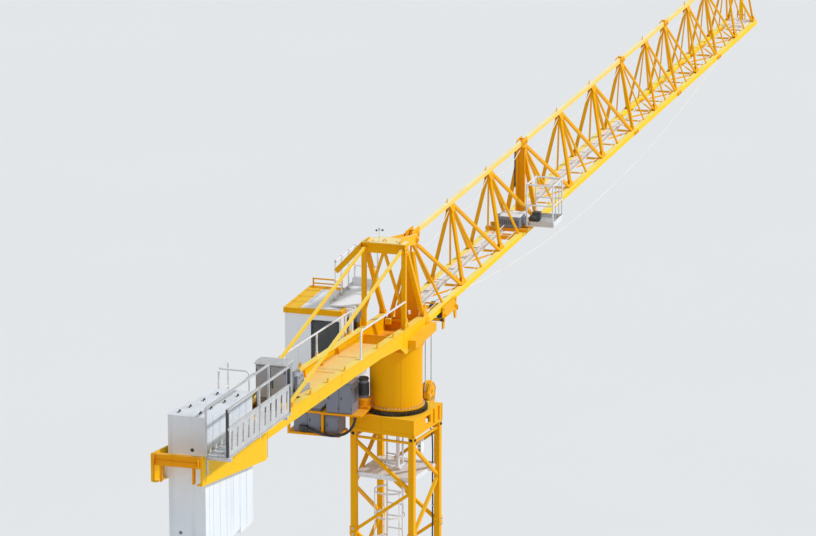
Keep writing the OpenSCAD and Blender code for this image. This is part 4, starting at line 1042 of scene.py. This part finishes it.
def jib_sides():
    """The jib's sloping sides: box chords painted brighter as painted sunlight, and their lacing, lighter in the outer
    jib, doubled at its joints.
    """
    for side, where in ((-1, "right"), (1, "left")):
        y = side * CHORD_Y
        for part, k0, k1, thick, thin in (("inner", 0, 6, 0.038, 0.024), ("outer", 6, 12, 0.027, 0.018)):
            chord, w = Work(), Work()
            start, end = (ROOT_X - 2 * CHORD_HALF, INNER_END) if k0 == 0 else (INNER_END, JIB_END)
            chord.block((start, y - CHORD_HALF, CHORD - CHORD_HALF), (end, y + CHORD_HALF, CHORD_TOP))
            for k in range(k0, k1):
                x, z = apex(k)
                a, b = node_x(k), node_x(k + 1)
                feet = [(a + d, d, thick + (0.014 if k == 3 else 0)) for d in
                        ((0.022,) if k == 6 else (-0.020, 0.020) if k in (8, 10) else (0.0,))]
                feet += [((a + b) / 2, 0, thin), (b - (0.036 if k + 1 == k1 else 0.0), 0, thick)]
                for (foot, d, size), share in zip(feet, (0.85, 0.93, 0.965) if k == 0 else (1.0,) * 4):
                    low = Vector((foot, y, CHORD))
                    w.bar(low, low.lerp(Vector((x + d, 0, z)), share), size)
            w.bar((end - 0.022, y, CHORD), (end - 0.022, 0, CREST), thick)
            name = "jib_%s_%s" % (where, part)
            piece(name + "_chord", "yellow_paint", chord, "sunlit_yellow", bevel=0.004, replaces=(name,))
            piece(name + "_lacing", "yellow_paint", w, bevel=0.003, replaces=(name,))


def jib_floor():
    """The cross bars and diagonals between the bottom chords."""
    edge = CHORD_Y - 0.030
    for part, first in (("inner", 0), ("outer", 12)):
        w = Work()
        for i in range(first, first + 12):
            x0, x1 = ((node_x(j // 2) + node_x((j + 1) // 2)) / 2 for j in (i, i + 1))
            s = -1 if i % 2 else 1
            w.bar((x0, -edge, CHORD + 0.006), (x0, edge, CHORD + 0.006), 0.026 if s > 0 else 0.018)
            w.bar((x0, -s * edge, CHORD), (x1, s * edge, CHORD), 0.018)
        piece("jib_floor_" + part, "yellow_paint", w, bevel=0.002, replaces=("jib_bottom_" + part,))


# ---------------------------------------------------------------- counter-jib

def beam_lugs():
    w = Work()
    for s in SIDES:
        for x in steps(8, -0.95, -0.60):
            z = beam_top(x)
            w.plate([(x - 0.035, z - 0.004), (x + 0.035, z + 0.002), (x + 0.018, z + 0.050), (x - 0.018, z + 0.048)],
                    "y", s * 0.252, s * 0.262)
            w.turned((x, s * 0.2625, z + 0.028), (0, s, 0), [(0.010, -0.014), (0.010, 0.002)], 10)
        for x, low in ((-5.416, 0.133), (-2.88, 0.20)):
            w.bar((x, s * 0.267, CHORD + low), (x, s * 0.267, beam_top(x) - 0.004), 0.010, 0.004)
        w.tube([(-7.438, s * 0.267, CHORD + 0.45), (-7.438, s * 0.267, CHORD + 0.735)], 0.004, 6)
        w.tube([(x, s * 0.2665, beam_top(x) - 0.016) for x in (0.40, -0.572, -2.5, -5.436, -7.43)], 0.0028, 6)
    piece("beam_lugs", "yellow_paint", w)


def inner_ribs():
    """Ribs inside the open counter-jib and strips across its floor."""
    w, strips = Work(), Work()
    for x in steps(7, -1.50, -0.60):
        low, top = floor_top(x) - 0.006, beam_top(x) - 0.02
        for s in SIDES:
            w.plate([(s * 0.250, low), (s * 0.200, low), (s * 0.222, top), (s * 0.250, top)], "x", x - 0.005, x + 0.005)
    for x in steps(5, -1.60, -0.80):
        strips.block((x - 0.008, -0.185, floor_top(x) - 0.004), (x + 0.008, 0.185, floor_top(x) + 0.006))
    piece("inner_stiffeners", "yellow_paint", w)
    piece("deck_strips", "yellow_paint", strips, "floor_plate")


def counter_rails():
    """Handrails over the beams, bent round at their ends, and the guard across the floor in front of the ballast."""
    w = Work()

    def handrail(y, back, front, up, close):
        def bend(x, inward):
            z = beam_top(x)
            return [(x, y, z - 0.01), (x, y, z + up - 0.05), (x + inward * 0.012, y, z + up - 0.018),
                    (x + inward * 0.045, y, z + up)]
        path = bend(back, 1)
        path += [(x, y, beam_top(x) + up) for x in (-5.0, -3.4, -2.1, -1.3, -0.9, -0.572)
                 if back + 0.1 < x < front - 0.1]
        w.tube(path + (bend(front, -1)[::-1] if close else [(front, y, beam_top(front) + up)]), 0.011, 10)

    def post(x, y, low, high):
        w.turned((x, y, low), UP, [(0.020, -0.002), (0.020, 0.008), (0.0145, 0.010), (0.0145, 0.050), (0.011, 0.052),
                                   (0.011, high - low)], 12)

    handrail(-0.258, -2.172, POST_X - 0.026, 0.325, False)
    handrail(0.258, -5.300, -0.875, 0.260, True)
    for x in (-3.438, -2.150):
        post(x, 0.258, beam_top(x), beam_top(x) + 0.260)
    for x, y in ((-2.172, -0.258), (-5.300, 0.258), (-0.875, 0.258)):
        w.cap((x, y, beam_top(x)), UP, 0.020, 0.008, 0.0145, 0.050, start=-0.002)
    gate, top = -5.420, CHORD + 1.045
    for x in (gate, gate + 0.300):
        post(x, 0.258, beam_top(x), top - 0.03)
    for z in (top - 0.260, top):
        w.tube([(gate + 0.300, 0.258, z - 0.04), (gate + 0.288, 0.258, z - 0.010), (gate + 0.26, 0.258, z),
                (gate + 0.04, 0.258, z), (gate + 0.010, 0.248, z), (gate, 0.22, z), (gate, -0.035, z),
                (gate, -0.065, z - 0.012), (gate, -0.075, z - 0.04)], 0.011, 10)
    post(gate, -0.075, floor_top(gate), top - 0.03)
    piece("handrails_and_guard", "galvanised", w, "galvanised_pale", smooth=True, replaces=("counter_rails",))


def walkway_fittings():
    w, dark, grid = Work(), Work(), Work()
    for x in (-7.368, -6.405, -5.442):
        z = walkway_z(x)
        for dz in (0.30, 0.49):
            w.block((x - 0.017, -0.532, z + dz), (x + 0.017, -0.523, z + dz + 0.03))
            w.bolt((x, -0.532, z + dz + 0.015), (0, -1, 0), 0.007)
        w.block((x - 0.020, -0.530, z - 0.012), (x + 0.020, -0.495, z))
        if x != -6.405:
            dark.block((x - 0.0135, -0.5265, z + 0.02), (x + 0.0135, -0.4995, z + 0.516))
    for x in steps(14, -7.36, 1.90 / 13):
        grid.bar((x, -0.520, walkway_z(x) + 0.013), (x, -0.282, walkway_z(x) + 0.013), 0.016, 0.006)
    for y in (-0.50, -0.40, -0.30):
        grid.bar((-7.37, y, walkway_z(-7.37) + 0.015), (-5.44, y, walkway_z(-5.44) + 0.015), 0.006, 0.008)
    piece("walkway_clamps", "galvanised", w, "bright_steel")
    piece("walkway_dark_posts", "galvanised", dark, "dark_trim", bevel=0.001)
    piece("walkway_grating", "galvanised", grid)


def ballast_details():
    """Lifting loops, joint packers and formwork lines of the four ballast slabs, and a dark disc on the rear slab,
    painted shade of the hole there.
    """
    loops, marks, socket, pads = Work(), Work(), Work(), Work()
    places = [(-7.140, 0.234)] + [(x, 0.402) for x in steps(3, -6.900, 0.408)]
    for x, thick in places:
        mid = x + thick / 2
        top = beam_top(mid) - SLAB_DOWN + SLAB_H
        for y in (-0.11, 0.11):
            loops.arc((mid, y, top - 0.004), ALONG, UP, 0.026, 0, 180, 0.006, 10)
        for y in (-0.1955, 0.1955):
            marks.rod((mid, y, top - 1.36), (mid, y, top - 0.03), 0.0022, 6)
    marks.turned((-7.1406, -0.045, beam_top(-7.140) - SLAB_DOWN + 0.710), ALONG, [(0.021, 0), (0.021, 0.04)], 20)
    # A thin dark disc where the rear slab has a hole: painted shade inside the hole.
    socket.turned((-7.1415, -0.060, CHORD + 0.710), ALONG, [(0.018, 0), (0.020, 0.0025)], 20)
    for x, _ in places[1:]:
        for y in (-0.12, 0.12):
            for dz in (-0.9, -0.3):
                pads.block((x - 0.006, y - 0.03, beam_top(x) + dz), (x, y + 0.03, beam_top(x) + dz + 0.06))
    piece("ballast_loops", "dark_steel", loops, smooth=True)
    piece("ballast_form_lines", "concrete", marks)
    piece("ballast_hole_shade", "dark_steel", socket, "rubber")
    piece("ballast_packers", "dark_steel", pads, "rubber")


def tail_frame():
    w = Work(at=(-7.440, 0, 11.87))
    for y in (-0.235, 0.235):
        w.plate([(-0.002, 0), (-0.035, 0), (-0.035, 0.08), (-0.002, 0.10)], "y", y - 0.005, y + 0.005)
        w.bolt((-0.002, y * 0.85, 0.04), (-1, 0, 0), 0.011)
    w.block((-0.010, -0.250, 0.035), (0, 0.250, 0.047))
    piece("tail_frame_ribs", "orange_paint", w)


def winch_details():
    """The hoist cabinet's doors and roof, the skid rails, and the winch drum with its flanges, motor and rope."""
    half, low, top = 0.168, 0.34, 0.850
    w, trim, lid, rope, drive = (Work(at=(-4.500, 0, CHORD)) for _ in range(5))
    for s in SIDES:
        w.block((-0.010, s * 0.004, low), (0, s * (half - 0.012), top - 0.02))
        for z in steps(8, low + 0.03, 0.016):
            trim.block((-0.014, s * 0.035, z), (-0.009, s * (half - 0.04), z + 0.008))
        for z in (low + 0.05, top - 0.09):
            trim.rod((-0.012, s * (half - 0.012), z), (-0.012, s * (half - 0.012), z + 0.035), 0.006)
        w.block((0.02, s * half, low + 0.05), (0.19, s * (half + 0.008), top - 0.05))
        for x in (0.02, 0.19):
            w.arc((x, s * 0.12, top), ACROSS, UP, 0.016, 0, 180, 0.004, 8, 6)
    for y in (-0.025, 0.012):
        trim.block((-0.020, y, low + 0.26), (-0.010, y + 0.012, low + 0.34))
    lid.plate([(-0.022, top), (0.232, top), (0.232, top + 0.010), (0.105, top + 0.024), (-0.022, top + 0.010)], "y",
              -half - 0.012, half + 0.012)
    piece("hoist_cabinet_doors", "grey_paint", w, "cabinet_grey", bevel=0.002)
    piece("hoist_cabinet_trim", "dark_steel", trim, "dark_trim")
    piece("hoist_cabinet_roof", "grey_paint", lid, "galvanised", bevel=0.0015)
    skids = Work()
    ends = [(x, floor_top(x) + 0.014) for x in (-4.530, -3.670)]
    for y in (-0.158, 0.158):
        skids.bar(*((x, y, z) for x, z in ends), 0.030, 0.036)
    for x, z in ends:
        skids.block((x, -0.150, z - 0.014), (x + 0.01, 0.150, z + 0.010))
    piece("hoist_skids", "grey_paint", skids, bevel=0.002)
    x, z = 0.510, 0.520
    for y in steps(20, -0.115, 0.230 / 19):
        rope.arc((x, y, z), ALONG, UP, 0.113, 0, 360, 0.0062, 28, 6)
    for s in SIDES:
        drive.ring((x, -0.120 if s < 0 else 0.110, z), ACROSS, 0.06, 0.150, 0.010, 36)
        for u, v in around(6, 0.085):
            drive.bolt((x + u, s * 0.161, z + v), (0, s, 0), 0.008)
    drive.turned((0.30, 0.02, 0.45), ACROSS, [(0.06, 0), (0.06, 0.13), (0.045, 0.14)], 24)
    for y in steps(8, 0.03, 0.014):
        drive.ring((0.30, y, 0.45), ACROSS, 0.055, 0.068, 0.005, 24)
    piece("winch_rope_turns", "rope", rope, smooth=True)
    piece("winch_drum_flanges", "grey_paint", drive, bevel=0.001)


def tie_fittings():
    w = Work()
    foot, z = TIE_FOOT, beam_top(TIE_FOOT)
    for y in (-0.222, 0.222):
        for y0 in (y - 0.028, y + 0.020):
            w.plate([(foot - 0.08, z - 0.006), (foot + 0.10, z - 0.01), (foot + 0.08, z + 0.09),
                     (foot - 0.01, z + 0.07)], "y", y0, y0 + 0.008)
        w.turned((foot + 0.045, y - 0.036, z + 0.035), ACROSS, [(0.016, 0), (0.016, 0.072)], 14)
        pin = Vector((POST_X, y, HEAD - 0.05)).lerp(Vector((foot, y, z - 0.01)), 0.012)
        w.turned((pin.x, y - 0.032, pin.z), ACROSS, [(0.017, 0), (0.017, 0.064)], 14)
    piece("tie_bar_joints", "yellow_paint", w, bevel=0.001)


# ---------------------------------------------------------------- jib machinery

def trolley_winch():
    """The winch in the third bay: housing with vents and cover, its bearers, and the basket's motor."""
    housing, bearers, w, dark, cover, motor = (Work(at=(WINCH_X, 0, CHORD_TOP + 0.040)) for _ in range(6))
    x0, x1, out, end = 0.010, 0.270, CHORD_Y + CHORD_HALF, BASKET_END - WINCH_X
    housing.plate([(x0, 0), (x1, 0), (x1, 0.130), (x1 - 0.02, 0.145), (x0 + 0.02, 0.145), (x0, 0.130)], "y",
                  -0.190, 0.100)
    for x in (0, 0.230):
        bearers.block((x, -out - 0.06, -0.040), (x + 0.050, out + 0.01, 0))
        bearers.block((x + 0.012, -out - 0.063, -0.030), (x + 0.038, -out - 0.06, -0.010))
    bearers.block((end - 0.050, -out - 0.06, -0.040), (end, -CHORD_Y + 0.034, 0))
    for y in steps(9, -0.170, 0.028):
        dark.block((x0 - 0.003, y, 0.045), (x0, y + 0.010, 0.10))
    cover.plate([(0, 0.145), (x1 + 0.010, 0.145), (x1 - 0.01, 0.162), (x0 + 0.02, 0.168)], "y", -0.200, 0.060)
    w.turned((x1 - 0.10, -0.225, 0.08), ACROSS, [(0.045, 0), (0.055, 0.010), (0.055, 0.036)], 20)
    w.turned((x1 - 0.12, 0.100, 0.08), ACROSS, [(0.060, 0), (0.060, 0.03), (0.035, 0.04), (0.035, 0.07)], 20)
    for x in (0.030, 0.219):
        for y in (-0.29, -0.16, 0.07, 0.20):
            w.bolt((x, y, 0), UP, 0.007)
    x, y, z = 0.30, -0.300, 0.012
    motor.block((x - 0.10, y - 0.045, z), (x + 0.13, y + 0.045, z + 0.014))
    motor.turned((x - 0.09, y, z + 0.062), ALONG, [(0.046, 0), (0.048, 0.012), (0.048, 0.150), (0.040, 0.165)], 20)
    motor.block((x + 0.075, y - 0.05, z + 0.014), (x + 0.165, y + 0.05, z + 0.115))
    for u in steps(8, x - 0.065, 0.015):
        motor.ring((u, y, z + 0.062), ALONG, 0.040, 0.054, 0.005, 20)
    piece("trolley_winch_housing", "grey_paint", housing, bevel=0.006, replaces=("trolley_winch",))
    piece("trolley_winch_bearers", "grey_paint", bearers, "orange_paint", bevel=0.003, replaces=("trolley_winch",))
    piece("trolley_winch_gear", "grey_paint", w, bevel=0.001)
    piece("trolley_winch_vents", "dark_steel", dark, "dark_trim")
    piece("trolley_winch_cover", "white_paint", cover, bevel=0.003)
    winch_bay_column()
    piece("basket_motor", "dark_steel", motor, "dark_trim", bevel=0.0015)


def winch_bay_column():
    """The channel with a cable tray between the winch bay's chords, and the winch's cross bearers."""
    column, web, tray = (Work(at=(node_x(3) - 0.055, 0, CHORD)) for _ in range(3))
    high = CREST - CHORD - 0.075
    for y0, y1 in ((0.024, 0.058), (-0.058, -0.046)):
        column.block((-0.024, y0, 0.010), (0.020, y1, high))
    web.block((-0.010, -0.046, 0.010), (0.016, 0.024, high))
    tray.block((-0.020, 0.060, 0.42), (0.010, 0.078, high - 0.03))
    for z in (0.45, 0.62, 0.79):
        tray.block((-0.026, 0.057, z), (-0.018, 0.081, z + 0.012))
    column.block((-0.032, -0.066, high), (0.028, 0.086, high + 0.028))
    column.block((-0.030, -0.066, 0.012), (0.028, 0.066, 0.047))
    column.at = (WINCH_X, 0, CHORD)
    for x in (-0.150, 0.330):
        column.block((x - 0.022, -0.168, -0.030), (x + 0.022, 0.168, 0.016))
    for y in (-0.150, 0.120):
        column.block((-0.150, y - 0.016, 0.016), (0.330, y + 0.016, 0.034))
    piece("winch_bay_column", "yellow_paint", web, "orange_paint", bevel=0.001)
    piece("winch_bay_tray", "dark_steel", tray, "dark_trim")
    piece("winch_bay_column", "orange_paint", column, bevel=0.002)


def basket_fittings():
    w = Work(at=(WINCH_X + 0.160, -0.5865, CHORD + 0.086))
    long, wide = BASKET_END - WINCH_X - 0.160, 0.360
    for x in (0.012, long - 0.012):
        for y in (0.012, wide - 0.012):
            w.cap((x, y, 0), UP, 0.020, 0.006, 0.0145, 0.040)
    for x in (0.14, 0.30):
        w.rod((x, 0.012, 0), (x, 0.012, 0.518), 0.006)
    for x in steps(12, 0.015, 0.036):
        w.block((x, 0.015, 0), (x + 0.007, wide - 0.01, 0.004))
    for x in (-0.004, long):
        w.block((x, 0, 0), (x + 0.004, wide - 0.05, 0.053))
    piece("basket_fittings", "galvanised", w)


def plank_clips():
    w = Work(at=(0, 0, CHORD + 0.033))
    for x in steps(20, 0.60, 0.52):
        w.block((x - 0.012, 0.012, 0), (x + 0.012, 0.160, 0.004))
        for y in (0.030, 0.142):
            w.bolt((x, y, 0.004), UP, 0.004)
    w.block((0.450, 0.008, 0), (INNER_END + 0.49, 0.012, 0.028))
    piece("plank_clips", "galvanised", w)


def tip_fittings():
    w, pulley, deck, lamp = (Work(at=(JIB_END, 0, CHORD)) for _ in range(4))
    for s in SIDES:
        w.plate([(0, -0.034), (0.06, -0.034), (0.06, 0.05), (0.01, 0.25)], "y", s * 0.055, s * 0.063)
        for y in (0.12, 0.19):
            w.bolt((0.060, s * y, 0), ALONG, 0.010)
    pulley.turned((0.020, -0.020, 0.110), ACROSS, [(0.012, 0), (0.058, 0.002), (0.046, 0.014), (0.046, 0.026),
                                                   (0.058, 0.038), (0.012, 0.040)], 28)
    pulley.rod((0.020, -0.064, 0.110), (0.020, 0.064, 0.110), 0.010)
    lamp.turned((0.026, 0, CREST - CHORD + 0.026), UP,
                [(0.022, 0), (0.022, 0.012), (0.018, 0.014), (0.020, 0.05), (0.012, 0.068)])
    for x0, x1, z0, z1 in ((-0.52, -0.10, 0.020, 0.032), (-0.52, -0.512, 0.032, 0.060), (-0.108, -0.10, 0.032, 0.060)):
        deck.block((x0, -0.166, z0), (x1, 0.166, z1))
    piece("tip_brackets", "yellow_paint", w)
    piece("tip_pulley", "dark_steel", pulley, "top_highlight_yellow", smooth=True)
    piece("tip_plate", "galvanised", deck, "plank_paint", bevel=0.002)
    piece("tip_lamp", "orange_paint", lamp, "lamp_lens", smooth=True)


def wind_gauge():
    w, cups = (Work(at=(POST_X + 0.01, 0.059, HEAD + 0.016)) for _ in range(2))
    w.turned((0, 0, 0), UP, [(0.014, 0), (0.014, 0.006), (0.005, 0.010), (0.004, 0.120), (0.009, 0.124),
                             (0.009, 0.145)], 12)
    for x, y in around(3, 0.040, 0.4):
        cups.rod((0, 0, 0.138), (x, y, 0.138), 0.003, 6)
        cups.turned((x, y, 0.138), (-y, x, 0), [(0.003, -0.010), (0.010, -0.006), (0.013, 0.003), (0.012, 0.003),
                                                (0.008, -0.003)], 12)
    piece("wind_gauge", "dark_steel", w, "galvanised_pale", smooth=True)
    piece("wind_gauge_cups", "dark_steel", cups, "dark_trim", smooth=True)


# ---------------------------------------------------------------- trolley, ropes and hook

def trolley_details():
    w, dark, guards = (Work("trolley", (TROLLEY_X, 0, CHORD)) for _ in range(3))
    face, roll, sheave = CHORD_Y + CHORD_HALF + 0.028, -0.0763, SHEAVE_Z - CHORD
    for s in SIDES:
        for x in (-0.22, 0.22):
            w.cap((x, s * face, roll), (0, s, 0), 0.026, 0.006, 0.018, 0.018, 14)
            w.turned((x * 1.08, s * face, -0.004), (0, s, 0), [(0.020, 0), (0.020, 0.010), (0.012, 0.012)], 12)
            for dy in (0.023, -0.028):
                dark.ring((x, s * CHORD_Y + dy, roll), ACROSS, 0.013, 0.040, 0.005, 28)
        for e in SIDES:
            x = e * 0.280
            w.block((x, s * 0.262 - 0.02, -0.150), (x + e * 0.012, s * 0.262 + 0.006, -0.09))
            dark.turned((x + e * 0.012, s * 0.255, -0.12), (e, 0, 0), [(0.018, 0), (0.020, 0.010), (0.014, 0.028)], 14)
            guards.arc((s * 0.196, e * 0.0205, sheave), (s, 0, 0), (0, 0, -1), 0.086, -20, 60, 0.004, 10, 6)
            guards.cap((s * 0.196, e * 0.038, sheave), (0, e, 0), 0.022, 0.006, 0.012, 0.014)
    piece("trolley_axle_caps", "yellow_paint", w, bevel=0.001)
    piece("trolley_roller_flanges", "dark_steel", dark, smooth=True)
    piece("trolley_rope_guards", "yellow_paint", guards)


def hoist_ropes():
    fall, w = Work(None), Work(None)
    low, high = HOOK_Z, SHEAVE_Z
    for dx in (-0.12, 0.12):
        fall.tube([(TROLLEY_X + dx, 0, low + (high - low) * i / 16) for i in range(17)], ROPE_R)
    rope = piece("hoist_rope_falls", "rope", fall, smooth=True, replaces=("hoist_falls",))
    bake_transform(rope)
    z = SHEAVE_Z + 0.0772
    a, b = 0.434, TROLLEY_X - 0.196
    w.tube([(a + (b - a) * i / 6, 0, z) for i in range(7)], ROPE_R)
    inner = piece("hoist_rope_inner", "rope", w, smooth=True, replaces=("hoist_run",))
    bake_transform(inner)
    a, b = TROLLEY_X + 0.196, JIB_END
    path = [(a + (b - a) * i / 40, 0, z - 4 * 0.640 * (i / 40) * (1 - i / 40)) for i in range(41)]
    w = Work()
    w.tube(path, ROPE_R)
    outer = piece("hoist_rope_outer", "rope", w, "pale_rope", smooth=True, replaces=("hoist_run",))
    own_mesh(outer)
    w = Work("trolley")
    w.tube([path[0], path[1], Vector(path[1]).lerp(Vector(path[2]), 0.5)], ROPE_R)
    end = piece("hoist_rope_end", "rope", w, "pale_rope", smooth=True)
    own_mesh(end)


def hook_details():
    w, dark, marks = (Work("hook_block", (TROLLEY_X, 0, HOOK_Z)) for _ in range(3))
    outline = [(-0.055, 0.085), (0.055, 0.085), (0.138, 0.0), (0.084, -0.155), (-0.084, -0.155), (-0.138, 0.0)]
    for s in SIDES:
        y = s * 0.048
        w.cap((0, y, 0), (0, s, 0), 0.040, 0.006, 0.022, 0.016, 18)
        for x, z in ((-0.105, -0.03), (0.105, -0.03), (-0.05, 0.07), (0.05, 0.07), (-0.065, -0.13), (0.065, -0.13)):
            dark.bolt((x, y, z), (0, s, 0), 0.010)
        for p, q in zip(outline, outline[1:] + outline[:1]):
            w.bar((p[0], s * 0.050, p[1]), (q[0], s * 0.050, q[1]), 0.010, 0.006)
        for x in steps(3, -0.066, 0.048):
            marks.plate([(x, -0.115), (x + 0.020, -0.115), (x + 0.044, -0.075), (x + 0.024, -0.075)], "y", y,
                        s * 0.0495)
    piece("hook_block_caps", "yellow_paint", w, bevel=0.001)
    piece("hook_block_bolts", "dark_steel", dark, "bright_steel")
    piece("hook_block_bands", "dark_steel", marks, "dark_trim")
    latch = Work("hook", (TROLLEY_X, 0, HOOK_Z))
    latch.bar((0.030, 0, -0.215), (0.064, 0, -0.275), 0.012, 0.006)
    latch.turned((0.030, -0.016, -0.215), ACROSS, [(0.008, 0), (0.008, 0.032)], 10)
    latch.ring((0, 0, -0.1795), UP, 0.020, 0.033, 0.012, 24)
    piece("hook_latch", "dark_steel", latch, "bright_steel")


for make in (mast_legs, mast_lacing, mast_bolts, ring_box_seams, mast_foot, mast_platforms, mast_ladder, mast_cables,
             collector_hose, drum_details, slewing_drive, electric_fronts, cabinet_cable, cab_details, cab_interior,
             cab_brackets, platform_clamps, head_fittings, jib_couplings, jib_gussets, lifeline, jib_sides, jib_floor,
             beam_lugs, inner_ribs, counter_rails, walkway_fittings, ballast_details, tail_frame, winch_details,
             tie_fittings, trolley_winch, basket_fittings, plank_clips, tip_fittings, wind_gauge, trolley_details,
             hoist_ropes, hook_details):
    make()


# ---------------------------------------------------------------- floor and light

def make_floor():
    bpy.ops.mesh.primitive_plane_add(size=500, location=(40, 0, -0.001))
    floor = bpy.context.object
    floor.name = "floor"
    floor.data.materials.append(pale_floor())


def make_light():
    world = bpy.data.worlds.new("world")
    bpy.context.scene.world = world
    world.use_nodes = True
    world.node_tree.nodes["Background"].inputs["Color"].default_value = (0.94, 0.97, 1, 1)
    world.node_tree.nodes["Background"].inputs["Strength"].default_value = 0.55
    data = bpy.data.lights.new("key", "SUN")
    data.energy = 2.0
    data.angle = math.radians(4)
    key = bpy.data.objects.new("key", data)
    key.rotation_euler = Vector((0.15, -0.75, 0.65)).to_track_quat("Z", "Y").to_euler()
    bpy.context.scene.collection.objects.link(key)


make_floor()
make_light()
bpy.context.scene.view_settings.view_transform = "Standard"
